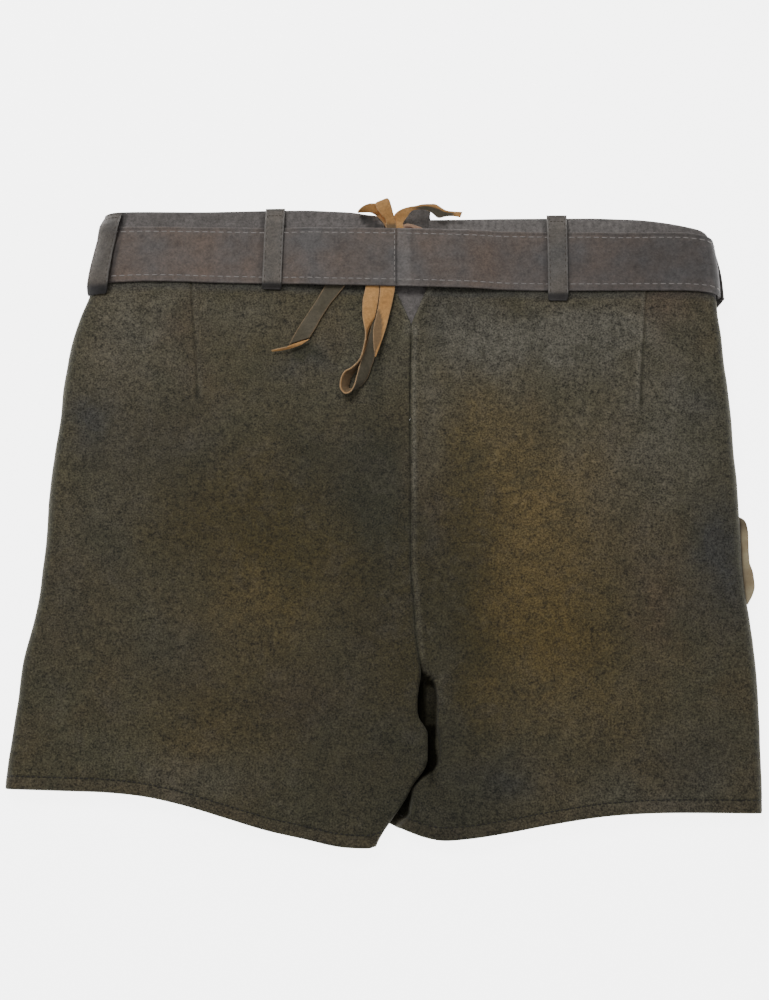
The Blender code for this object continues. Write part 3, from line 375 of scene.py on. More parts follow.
class Finish:
    """A material's graph."""

    def __init__(self, name, metallic=0.0, sheen=0.0, sheen_tint=(1, 1, 1)):
        self.material = bpy.data.materials.new(name)
        self.material.use_nodes = True
        self.tree = self.material.node_tree
        self.shader = self.tree.nodes["Principled BSDF"]
        self.set_inputs(self.shader, {"Metallic": metallic, "Sheen Weight": sheen, "Sheen Roughness": 0.5,
                                      "Sheen Tint": opaque(sheen_tint)})

    def set_inputs(self, node, inputs):
        for name, value in inputs.items():
            if isinstance(value, Socket):
                self.tree.links.new(value.socket, node.inputs[name])
            else:
                node.inputs[name].default_value = value

    def node(self, kind, settings, inputs, output=0):
        """A node of a type, with its settings, then its sockets' values or links; returns an output."""
        made = self.tree.nodes.new(kind)
        for name, value in settings.items():
            setattr(made, name, value)
        self.set_inputs(made, inputs)
        return Socket(self, made.outputs[output])

    def noise(self, scale, detail=4.0, rough=0.55, warp=0.0):
        place = self.node("ShaderNodeTexCoord", {}, {}, "Object")
        inputs = {"Vector": place, "Scale": scale, "Detail": detail, "Roughness": rough, "Distortion": warp}
        return self.node("ShaderNodeTexNoise", {}, inputs)

    def attribute(self, name):
        return self.node("ShaderNodeAttribute", {"attribute_name": name}, {}, "Fac")

    def mix(self, share, first, second):
        """first where share is 0, and second where it is 1, as colours."""
        inputs = {0: share, 6: opaque(first), 7: opaque(second)}
        return self.node("ShaderNodeMix", {"data_type": "RGBA"}, inputs, 2)

    def shade(self, colour, share):
        """A colour made lighter or darker by a number that is 1 for no change."""
        return self.node("ShaderNodeVectorMath", {"operation": "SCALE"}, {0: colour, "Scale": share})

    def grainy(self, colour, grains, low, high):
        """A colour made lighter and darker by noises, each with its strength, between two limits."""
        light = 1.0
        for noise, strength in grains:
            light = light + (noise - 0.5) * strength
        return self.shade(colour, light.clamp_to(low, high))

    def dull_where(self, share, colour):
        """Takes the gloss and sheen away where share is 1."""
        matt = {"Base Color": colour, "Roughness": 1.0, "Specular IOR Level": 0.05}
        matt = self.node("ShaderNodeBsdfPrincipled", {}, matt)
        glossy = Socket(self, self.shader.outputs[0])
        both = self.node("ShaderNodeMixShader", {}, {0: share, 1: glossy, 2: matt})
        self.set_inputs(self.tree.nodes["Material Output"], {"Surface": both})

    def finish(self, colour, roughness, bumps=()):
        """bumps are (height, strength, distance) one over another."""
        inputs = {"Base Color": opaque(colour), "Roughness": roughness}
        for height, strength, distance in bumps:
            bump = {"Height": height, "Strength": strength, "Distance": distance}
            if "Normal" in inputs:
                bump["Normal"] = inputs["Normal"]
            inputs["Normal"] = self.node("ShaderNodeBump", {}, bump)
        self.set_inputs(self.shader, inputs)
        return self.material


def stretch(value, low, high):
    """A number spread so that low becomes 0 and high becomes 1, clamped."""
    return ((value - low) / (high - low)).clamp()


# ------------------------------------------------------------- finishes

OLIVE_GREEN = (0.067, 0.061, 0.035)
OLIVE_BROWN = (0.072, 0.058, 0.030)
OLIVE_MAUVE = (0.077, 0.067, 0.050)
OLIVE_DEEP = (0.038, 0.036, 0.021)
PALE_SPECK = (0.165, 0.150, 0.115)
# The suede's tones, one over another: mostly its uneven dye, while the smoky grey and the deep olive also carry
# painted shade and painted shadow.
TONES = {
    "gold": (0.130, 0.092, 0.035), "umber": (0.056, 0.041, 0.010), "smoke_and_shadow": (0.046, 0.045, 0.040),
    "pale": (0.108, 0.100, 0.078), "deep": OLIVE_DEEP, "rust": (0.086, 0.056, 0.037),
    "pale_seam_edges": (0.135, 0.125, 0.095),
}
HOLLOW_SHADE = 0.12


def suede_finish():
    """Napped suede: cloudy dye, patches of tone, some of them painted shade, a fine broken nap, and painted
    shade in the hollow between the legs.
    """
    made = Finish("olive_suede", sheen=0.06, sheen_tint=(0.85, 0.82, 0.70))
    broad = made.noise(21.0, 3.0, 0.55, 0.4)
    ragged = made.noise(46.0, 5.0, 0.68, 0.5)
    mottle = made.noise(120.0, 4.0, 0.7, 0.3)
    dye = made.mix(stretch(broad, 0.34, 0.66), OLIVE_GREEN, OLIVE_BROWN)
    for tone, colour in TONES.items():
        spread_out = made.attribute(tone) * (0.25 + ragged * 1.0 + mottle * 0.6)
        dye = made.mix(spread_out.clamp(), dye, colour)
    dye = made.mix(stretch(ragged, 0.50, 0.72) * 0.40, dye, OLIVE_MAUVE)
    dye = made.mix(stretch(ragged, 0.50, 0.30) * 0.45, dye, OLIVE_DEEP)
    nap = made.noise(820.0, 2.0, 0.6)
    clumps = made.noise(300.0, 3.0, 0.65)
    colour = made.grainy(dye, [(nap, 3.4), (clumps, 1.7), (mottle, 1.2)], 0.25, 2.4)
    # Painted shade in the hollow between the legs: darker, with no pale specks, and with its gloss and sheen
    # taken away.
    hollow = made.attribute("hollow")
    colour = made.mix(hollow, colour, made.shade(colour, HOLLOW_SHADE))
    speck = stretch(made.noise(700.0, 1.0, 0.5), 0.66, 0.80) * (1.0 - hollow)
    colour = made.mix(speck * 0.30, colour, PALE_SPECK)
    made.dull_where(hollow, colour)
    return made.finish(colour, 0.86 + clumps * 0.12, [(clumps, 0.30, 0.0010), (nap, 0.40, 0.0006)])


def band_finish():
    """The waistband's and the gusset's greyer suede: paler in places, with painted light and painted shade, and
    dark along its seams.
    """
    made = Finish("band_suede", sheen=0.08)
    blotch = made.noise(30.0, 4.0, 0.6)
    colour = made.mix(stretch(blotch, 0.35, 0.68), (0.098, 0.088, 0.082), (0.150, 0.136, 0.130))
    colour = made.mix(made.attribute("tone_and_painted_shading"), colour, (0.195, 0.180, 0.170))
    colour = made.mix(made.attribute("deep"), colour, (0.020, 0.019, 0.018))
    nap = made.noise(800.0, 3.0, 0.7)
    clumps = made.noise(260.0, 3.0, 0.6)
    colour = made.grainy(colour, [(nap, 1.6), (clumps, 1.2)], 0.3, 2.0)
    return made.finish(colour, 0.88 + nap * 0.08, [(clumps, 0.3, 0.001), (nap, 0.35, 0.0005)])


def belt_finish(name, brown, grey, edge):
    """Buffed leather, browner in cloudy patches and paler along the rubbed edges. Its darker mark is mostly
    painted shade: on sideways faces, beside the loops and on the loops' turned-under feet.
    """
    made = Finish(name, sheen=0.05)
    blotch = made.noise(22.0, 4.0, 0.55)
    colour = made.mix(stretch(blotch, 0.36, 0.64), grey, brown)
    colour = made.mix(made.attribute("edge") * 0.75, colour, edge)
    colour = made.mix(made.attribute("deep"), colour, (0.022, 0.020, 0.020))
    grain = made.noise(700.0, 3.0, 0.65)
    clumps = made.noise(180.0, 3.0, 0.6)
    colour = made.grainy(colour, [(grain, 1.5), (clumps, 1.0)], 0.3, 2.0)
    return made.finish(colour, 0.70 + grain * 0.18, [(clumps, 0.18, 0.0008), (grain, 0.28, 0.0004)])


def lace_finish():
    """A thong that is tan on one side and dark on the other, with pale cut edges."""
    made = Finish("thong_leather", sheen=0.05)
    fibre = made.noise(520.0, 4.0, 0.7)
    blotch = stretch(made.noise(70.0, 3.0, 0.6), 0.35, 0.68)
    tan = made.mix(blotch, (0.44, 0.220, 0.070), (0.55, 0.292, 0.102))
    tan = made.mix(made.attribute("pink"), tan, (0.30, 0.195, 0.155))
    # Painted shade in the lace's creases, curls and shadowed parts.
    tan = made.mix(made.attribute("tone_and_painted_shading"), tan, (0.190, 0.118, 0.055))
    dark = made.mix(blotch, (0.070, 0.059, 0.036), (0.104, 0.089, 0.060))
    colour = made.mix(made.attribute("dark"), tan, dark)
    # A slit painted as a dark line: the shade seen through it.
    colour = made.mix(made.attribute("painted_slit_shade"), colour, (0.045, 0.014, 0.011))
    colour = made.mix(made.attribute("cut"), colour, (0.50, 0.33, 0.18))
    colour = made.grainy(colour, [(fibre, 1.2)], 0.4, 1.8)
    return made.finish(colour, 0.82 + fibre * 0.1, [(fibre, 0.35, 0.0005)])


def lip_finish():
    made = Finish("pocket_edge_leather", sheen=0.05)
    fibre = made.noise(420.0, 4.0, 0.7)
    colour = made.mix(stretch(made.noise(90.0), 0.35, 0.65), (0.28, 0.21, 0.12), (0.38, 0.32, 0.20))
    colour = made.mix(made.attribute("deep"), colour, (0.060, 0.040, 0.026))
    return made.finish(made.shade(colour, 0.7 + fibre * 0.6), 0.86, [(fibre, 0.3, 0.0005)])


def thread_finish(name, colour):
    made = Finish(name)
    twist = made.noise(1500.0, 2.0, 0.5)
    return made.finish(made.shade(colour, 0.75 + twist * 0.5), 0.7, [(twist, 0.3, 0.0002)])


def brass_finish():
    made = Finish("aged_brass", metallic=1.0)
    tarnish = stretch(made.noise(220.0, 4.0, 0.6), 0.45, 0.62)
    colour = made.mix(tarnish, (0.56, 0.42, 0.20), (0.26, 0.19, 0.10))
    return made.finish(colour, 0.30 + tarnish * 0.28, [(made.noise(900.0, 3.0), 0.12, 0.0003)])


def horn_finish():
    made = Finish("polished_horn")
    streak = made.noise(120.0, 4.0, 0.6, 1.2)
    colour = made.mix(stretch(streak, 0.38, 0.62), (0.30, 0.20, 0.11), (0.10, 0.062, 0.034))
    return made.finish(colour, 0.30 + streak * 0.15, [(streak, 0.08, 0.0004)])


def floor_finish():
    made = Finish("studio_floor")
    made.set_inputs(made.shader, {"Emission Color": (1, 1, 1, 1), "Emission Strength": FLOOR_GLOW})
    return made.finish((0.92, 0.92, 0.92), 0.9)


FLOOR_GLOW = 5.0
FLOOR_SIZE = 6.0
FLOOR_DROP = 0.0004


def add_floor():
    bpy.ops.mesh.primitive_plane_add(size=FLOOR_SIZE, location=(0, 0, -FLOOR_DROP))
    floor = bpy.context.object
    floor.name = "floor"
    floor.data.materials.append(floor_finish())


# ------------------------------------------------------------- meshes


def away_from(grid, cells):
    """For each point on the border of the cells that are there, the way out of them."""
    rows, columns = cells.shape
    ways, rings = {}, []

    def there(row, column):
        return 0 <= row < rows and 0 <= column < columns and cells[row, column]

    for row in range(rows):
        for column in range(columns):
            beyond = [(row - 1, column), (row, column + 1), (row + 1, column), (row, column - 1)]
            if not cells[row, column] or all(there(*cell) for cell in beyond):
                continue
            ring = [(row, column), (row, column + 1), (row + 1, column + 1), (row + 1, column)]
            middle = sum(grid[corner] for corner in ring) / 4
            for edge in range(4):
                if there(*beyond[edge]):
                    continue
                first, second = ring[edge], ring[(edge + 1) % 4]
                way = (grid[first] + grid[second]) / 2 - middle
                way = way / (np.linalg.norm(way) + 1e-9)
                for corner in (first, second):
                    ways[corner] = ways.get(corner, 0) + way
                rings.append((first, second))
    return {corner: way / (np.linalg.norm(way) + 1e-9) for corner, way in ways.items()}, rings


def shell(name, face, back, finish, cells=None, edge=0.3, marks=None):
    """A closed wall between two grids of points, with its rim rounded by edge millimetres."""
    rows, columns = face.shape[:2]
    if cells is None:
        cells = np.ones((rows - 1, columns - 1), bool)
    ways, rings = away_from(face, cells)
    face, back = face.copy(), back.copy()
    rim = {}
    for corner, way in ways.items():
        rim[corner] = (face[corner] + back[corner]) / 2
        face[corner] = face[corner] - way * edge
        back[corner] = back[corner] - way * edge
    count = rows * columns
    index = np.arange(count).reshape(rows, columns)
    quads = np.stack([index[:-1, :-1], index[:-1, 1:], index[1:, 1:], index[1:, :-1]], axis=-1)[cells]
    rim_place = {corner: 2 * count + place for place, corner in enumerate(rim)}
    sides = []
    for first, second in rings:
        a, b = index[first], index[second]
        sides.append((b, a, rim_place[first], rim_place[second]))
        sides.append((rim_place[second], rim_place[first], a + count, b + count))
    faces = np.concatenate([quads, quads[:, ::-1] + count, np.array(sides)])
    points = np.concatenate([face.reshape(-1, 3), back.reshape(-1, 3), np.array(list(rim.values()))])
    values = {}
    for mark, layers in (marks or {}).items():
        outer, inner = layers if isinstance(layers, tuple) else (layers, layers)
        around = [(outer[corner] + inner[corner]) / 2 for corner in rim]
        values[mark] = np.concatenate([outer.ravel(), inner.ravel(), np.array(around)])
    return add_piece(name, points, faces, finish, values)


def add_piece(name, points, faces, finish, marks=None):
    """A piece from points in millimetres, with its faces turned outwards."""
    faces = np.asarray(faces)
    used = np.unique(faces)
    place = np.zeros(len(points), int)
    place[used] = np.arange(len(used))
    points, faces = np.asarray(points)[used] * MM, place[faces]
    corners = points[faces]
    volume = np.einsum("ij,ij->", corners[:, 0], np.cross(corners[:, 1], corners[:, 2]))
    volume += np.einsum("ij,ij->", corners[:, 0], np.cross(corners[:, 2], corners[:, 3]))
    if volume < 0:
        faces = faces[:, ::-1]
    mesh = bpy.data.meshes.new(name)
    mesh.from_pydata(points.tolist(), [], faces.tolist())
    mesh.shade_smooth()
    mesh.materials.append(finish)
    for mark, value in (marks or {}).items():
        layer = mesh.attributes.new(mark, "FLOAT", "POINT")
        layer.data.foreach_set("value", np.asarray(value, np.float32)[used])
    made = bpy.data.objects.new(name, mesh)
    bpy.context.scene.collection.objects.link(made)
    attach(made, "root")
    return made


def normals(grid, towards):
    """Unit normals of a grid of points, on the side that towards points to at its middle."""
    facing = np.cross(np.gradient(grid, axis=1), np.gradient(grid, axis=0))
    facing /= np.linalg.norm(facing, axis=2, keepdims=True) + 1e-12
    middle = tuple(size // 2 for size in grid.shape[:2])
    return facing if np.dot(facing[middle], towards) > 0 else -facing


STITCH_RINGS = ((-1.0, 0.35), (-0.72, 0.9), (0.0, 1.0), (0.72, 0.9), (1.0, 0.35))
STITCH_SIDES = 6
STITCH_FLAT = 0.7


def stitch_row(path, ups, lift, pitch, long, radius, start=0.5):
    """Dashes that lie a little off a path: their centres, directions and half sizes."""
    path = path + ups * lift
    steps = np.linalg.norm(np.diff(path, axis=0), axis=1)
    run = np.concatenate([[0], np.cumsum(steps)])
    places = np.arange(pitch * start, run[-1], pitch)

    def at_places(values):
        return np.stack([np.interp(places, run, values[:, axis]) for axis in range(3)], axis=1)

    ahead, up = at_places(np.gradient(path, run, axis=0)), at_places(ups)
    ahead /= np.linalg.norm(ahead, axis=1, keepdims=True)
    up -= ahead * np.sum(up * ahead, axis=1, keepdims=True)
    up /= np.linalg.norm(up, axis=1, keepdims=True)
    return at_places(path), ahead * long / 2, np.cross(up, ahead) * radius, up * radius * STITCH_FLAT


def stitches(name, rows, finish):
    """All the dashes of some rows as one piece."""
    points, faces = [], []
    count = len(STITCH_RINGS) * STITCH_SIDES
    dashes = [dash for row in rows for dash in zip(*row)]
    for number, (middle, ahead, aside, up) in enumerate(dashes):
        for along, wide in STITCH_RINGS:
            for step in range(STITCH_SIDES):
                turn = 2 * math.pi * step / STITCH_SIDES
                points.append(middle + ahead * along + wide * (aside * math.cos(turn) + up * math.sin(turn)))
        first = number * count
        for ring in range(len(STITCH_RINGS) - 1):
            for step in range(STITCH_SIDES):
                after = (step + 1) % STITCH_SIDES
                low, high = first + ring * STITCH_SIDES, first + (ring + 1) * STITCH_SIDES
                faces.append((low + step, low + after, high + after, high + step))
        last = first + count - STITCH_SIDES
        faces += [(first + 3, first + 2, first + 1, first), (first, first + 5, first + 4, first + 3)]
        faces += [(last, last + 1, last + 2, last + 3), (last + 3, last + 4, last + 5, last)]
    return add_piece(name, np.array(points), faces, finish)


# --------------------------------------------------------- body panels

HEM_ROWS = np.arange(0, 14, 1.0)
SHARES = np.concatenate([HEM_ROWS / LEG_LONG, np.linspace(14 / LEG_LONG, 1, 160)])
SEAM_TURNS = np.linspace(0, 1, 9)
FOLD_TURNS = np.linspace(90, -90, 19)
SEAM_PAST_FOLD = 3.0
SEAM_ROLL = 4.0
SEAM_START = 62.0
DARTS = {-1: table("y x", [(60, -131), (85, -132), (163, -138), (176, -139)]),
         1: table("y x", [(55, 180.5), (79, 181), (159, 187), (172, 188)])}
DART_FOOT = {-1: 85.0, 1: 79.0}
DART_HALF = 5.0


def body_y(side, x, share):
    """The y of a panel's place, which is a share of the way from its hem to the waistband."""
    x = np.asarray(x, float)
    hem = read(HEM_RIGHT if side > 0 else HEM_LEFT, "y", x, by="x")
    middle = read(HEM_MIDDLE, "y", x, by="x")
    near = (x > HEM_MIDDLE["x"][0]) & (x < HEM_MIDDLE["x"][-1])
    hem = np.where(near, hem + (middle - hem) * ease(share / 0.35), hem)
    waist = read(WAIST_SEAM, "y", x, by="x") - MEET
    return hem + (waist - hem) * share


SETTLE_ROUNDS = 12


def settle(side, shares, edge):
    """The points of the rows that lie on an edge curve x = edge(y)."""
    y = body_y(side, np.full(len(shares), SEAM_X), shares)
    for _ in range(SETTLE_ROUNDS):
        x = edge(y)
        y = body_y(side, x, shares)
    return x, y


def side_fold(side, y, x_side, angles, out=0.0):
    """Points round the side fold, from the back (90 degrees) to the front (-90)."""
    centre = x_side - side * FOLD
    top, bottom = back_z(side, centre, y), front_z(side, centre, y)
    half, turn = (top - bottom) / 2, np.radians(angles)
    return centre + side * (FOLD + out) * np.cos(turn), (top + bottom) / 2 + (half + out) * np.sin(turn)


def leg_open(y):
    """0 above the crotch, where the panels meet at a seam, and 1 below, where each leg folds."""
    return ease((CROTCH + LEG_OPENS - y) / LEG_RUN)


def seam_bend(y, deep):
    """The inner edge's bend: its start angle and width. It is slight at the seam and round at a fold."""
    is_open = leg_open(y)
    return SEAM_START * (1 - is_open), SEAM_ROLL + (deep * 1.1 - SEAM_ROLL) * is_open


def half_height(side, x, y):
    """Half the garment's depth at a place, less what parts its layers."""
    return (back_z(side, x, y) - front_z(side, x, y)) / 2 - SEAM / 2


def spread(knots, counts):
    """Columns of x: evenly spaced between each pair of knots, for every row."""
    parts = []
    for first, second, count in zip(knots[:-1], knots[1:], counts):
        parts.append(first[:, None] + (second - first)[:, None] * np.arange(count) / count)
    parts.append(knots[-1][:, None])
    return np.concatenate(parts, axis=1)


def back_grid(side):
    """The back's outer face before its creases, from the inner edge to the seam under the side fold."""
    shares = SHARES
    x_side, y_side = settle(side, shares, lambda y: side_x(side, y))
    x_in, y_in = settle(side, shares, lambda y: inner_x(side, y))
    start, wide = seam_bend(y_in, half_height(side, x_in + side * SEAM_ROLL, y_in))
    crest = x_in + side * wide * np.cos(np.radians(start))
    run_end = x_side - side * FOLD
    turn = np.radians(start[:, None] + (90 - start)[:, None] * SEAM_TURNS)
    top, deep = back_z(side, crest, y_in), half_height(side, crest, y_in)
    bend_x = crest[:, None] - side * wide[:, None] * np.cos(turn)
    bend_z = top[:, None] - deep[:, None] * (1 - np.sin(turn))
    dart = read(DARTS[side], "x", body_y(side, np.full(len(shares), DARTS[side]["x"][1]), shares))
    if side > 0:
        rise = read(SHOULDER, "x", y_in)
        low = np.maximum(rise - 3, crest + 2)
        high = np.maximum(rise + read(SHOULDER, "run", y_in) + 2, low + 8)
        knots = [crest, low, high, dart - DART_HALF, dart + DART_HALF, run_end]
        run_x = spread(knots, (8, 18, 58, 16, 20))
    else:
        run_x = spread([crest, crest - 8, dart + DART_HALF, dart - DART_HALF, run_end], (6, 64, 16, 28))
    run_x = run_x[:, 1:]
    fold_x, fold_z = side_fold(side, y_side[:, None], x_side[:, None], FOLD_TURNS[None, 1:])
    x = np.concatenate([bend_x, run_x, fold_x, (run_end - side * SEAM_PAST_FOLD)[:, None]], axis=1)
    y = body_y(side, x, shares[:, None])
    z = np.concatenate([bend_z, back_z(side, run_x, y[:, 9:9 + run_x.shape[1]]), fold_z,
                        front_z(side, x[:, -1:], y[:, -1:])], axis=1)
    return np.stack([x, y, z], axis=2)


FLAP_WIDE = 140.0
FLAP_SHARE = 0.7466
FRONT_ROWS = np.concatenate([[0, 2 / LEG_LONG, 5 / LEG_LONG, 8 / LEG_LONG],
                             np.linspace(10.5 / LEG_LONG, FLAP_SHARE, 60),
                             np.linspace(FLAP_SHARE, 1, 22)[1:]])
FRONT_COUNTS = (16, 40)  # columns beside the flap and from there to the side seam


def front_inner_x(side, y):
    """Where a front panel ends on its inner side: centre seam or inner fold."""
    centre = SEAM_X + side * MEET
    fold = read(INNER, "right" if side > 0 else "left", y)
    return fold + (centre - fold) * ease((np.asarray(y, float) - CROTCH) / 40)


def front_grid(side):
    """The front's outer face, which is underneath; its first columns run beside the flap."""
    shares = FRONT_ROWS
    x_side, _ = settle(side, shares, lambda y: side_x(side, y))
    x_in, y_in = settle(side, shares, lambda y: front_inner_x(side, y))
    _, wide = seam_bend(y_in, half_height(side, x_in + side * SEAM_ROLL, y_in))
    crest = x_in + side * wide
    under = front_z(side, crest, y_in)
    rise = leg_open(y_in) * half_height(side, crest, y_in)
    turn = np.radians(90 * SEAM_TURNS)
    bend_x = crest[:, None] - side * wide[:, None] * np.cos(turn)
    bend_z = under[:, None] + rise[:, None] * (1 - np.sin(turn))
    flap_x = np.full(len(shares), SEAM_X + side * FLAP_WIDE / 2)
    seam_x = x_side - side * (FOLD + SEAM_PAST_FOLD + MEET)
    run_x = spread([crest, flap_x, seam_x], FRONT_COUNTS)[:, 1:]
    x = np.concatenate([bend_x, run_x], axis=1)
    y = body_y(side, x, shares[:, None])
    z = np.concatenate([bend_z, front_z(side, run_x, y[:, len(SEAM_TURNS):])], axis=1)
    return np.stack([x, y, z], axis=2)


# Soft creases in the back, from one place to another. deep below zero is a trough.
CREASES = table("x0 y0 x1 y1 wide deep", [
    (-131, 80, -150, 30, 9, -0.7), (-126, 78, -112, 40, 8, -0.5), (-133, 70, -131, 18, 12, 0.5),
    (180, 74, 192, 30, 9, -0.7), (178, 70, 160, 36, 9, -0.5), (181, 62, 178, 15, 12, 0.5),
    (14, -70, -40, -120, 10, -0.9), (12, -84, -60, -160, 12, -0.8), (16, -96, -20, -150, 7, 0.7),
    (10, -40, -50, -60, 11, -0.6), (26, -60, 70, -100, 10, -0.7), (30, -80, 100, -138, 12, -0.7),
    (32, -96, 62, -130, 7, 0.6), (24, -20, 70, -46, 12, -0.5), (-200, 120, -170, 20, 16, 0.8),
    (-215, 60, -190, -60, 15, -0.8), (-190, -80, -220, -160, 16, 0.7), (225, 100, 205, 10, 14, 0.8),
    (228, 20, 216, -90, 12, -0.8), (205, -100, 230, -170, 15, 0.7), (-60, 60, -100, 0, 18, 0.7),
    (70, 70, 110, 10, 20, 0.7), (-90, -150, -60, -205, 12, -0.6), (-170, -130, -150, -180, 12, -0.6),
    (110, -140, 130, -196, 13, -0.6), (170, -120, 190, -190, 13, 0.6), (-40, 150, -90, 120, 12, -0.4),
    (50, 140, 100, 110, 14, -0.4),
])


def crease_relief(x, y):
    """The height of all the creases, with their lines bent a little."""
    relief = np.zeros(np.broadcast(x, y).shape)
    bent_x = x + 5 * cloud(31, 34, x, y)
    bent_y = y + 5 * cloud(32, 34, x, y)
    for x0, y0, x1, y1, wide, deep in zip(*CREASES.values()):
        along = ((bent_x - x0) * (x1 - x0) + (bent_y - y0) * (y1 - y0)) / ((x1 - x0) ** 2 + (y1 - y0) ** 2)
        part = np.clip(along, 0, 1)
        off = np.hypot(bent_x - x0 - (x1 - x0) * part, bent_y - y0 - (y1 - y0) * part)
        relief += deep * bell(off, wide) * (0.35 + 0.65 * ease(np.minimum(along, 1 - along) * 3 + 0.4))
    return relief


SIDE_REACH = 100  # how far from the centre the shade of the side folds starts
SEAM_CREST = 3.2  # how far from the seam it is palest
DART_EDGE = 2.4  # how far from a dart its raised, paler edge lies
HEM_STITCH = 8.7  # the hem's row of stitches lies this far above the edge
HEM_PITCH = 3.6
HEM_DASH = 2.3
HEM_REACH = 30  # rows of points that hold the hem


def hem_height(side, x, y):
    """How far a place is above the hem's edge."""
    return y - body_y(side, x, 0)


# Where the back lies smooth: under the belt, between the legs and under the laces.
CALM_BELOW_BELT = 158.0
UNDER_LAP = (-12, 60, 24)
UNDER_LAP_TOP = -96.0
UNDER_LACES = (-72, 10, 14)
UNDER_LACES_FOOT = 74.0
DART_TOP = 178.0


def back_relief(side, grid):
    """Height to add to the back's face: undulations, creases, seam, darts and hem."""
    x, y = grid[..., 0], grid[..., 1]
    from_seam = side * (x - inner_x(side, y))
    calm = ease((from_seam - 2) / 18) * ease((CALM_BELOW_BELT - y) / 26)
    lap = plateau(x, *UNDER_LAP) * ease((UNDER_LAP_TOP - y) / 30)
    lace = plateau(x, *UNDER_LACES) * ease((y - UNDER_LACES_FOOT) / 14)
    relief = 0.85 * cloud(11 + side, 52, x, y) + 0.34 * cloud(13 + side, 21, x, y)
    relief = relief + 0.10 * cloud(17 + side, 8, x, y)
    relief = (relief + crease_relief(x, y)) * calm * (1 - 0.85 * lap)
    relief = relief + (np.minimum(relief, 0) - 0.15 - relief) * lace
    off, foot = x - read(DARTS[side], "x", y), y - DART_FOOT[side]
    sewn = ease(foot / 8 + 0.5) * ease((DART_TOP - y) / 6)
    relief += sewn * (-1.0 * bell(off, 0.75) + 0.30 * bell(off + DART_EDGE * side, 1.6))
    relief += -1.1 * bell(np.hypot(off, foot - 2), 2.6) + 0.4 * bell(np.hypot(off + 4, foot + 6), 4)
    above = hem_height(side, x, y)
    ripple = np.sin(2 * math.pi * x / HEM_PITCH)
    relief += -(0.28 + 0.10 * ripple) * bell(above - HEM_STITCH, 0.9) - 0.35 * bell(above, 1.1)
    relief += 0.12 * cloud(23, 6, x, y) * ease((14 - above) / 8)
    closed = 1 - leg_open(y)
    if side > 0:
        relief += closed * 0.55 * bell(from_seam - 3.4, 1.9)
    relief -= closed * 0.25 * bell(from_seam, 2.2)
    relief -= 0.5 * ease((y - (read(WAIST_SEAM, "y", x, by="x") - 3)) / 3)
    return relief


def under_relief(side, grid):
    """Height to press into the front's face, which stays flat where it rests."""
    x, y = grid[..., 0], grid[..., 1]
    relief = 0.5 + 0.5 * cloud(41 + side, 40, x, y)
    crease = bell(cloud(43 + side, 60, x + 0.4 * y, y) * 9, 1.6)
    edge = hem_height(side, x, y)
    relief = (0.5 * relief ** 2 + 0.5 * crease) * ease(edge / 18) * ease((160 - y) / 20)
    return relief + 0.45 * bell(edge - HEM_STITCH, 1.0)


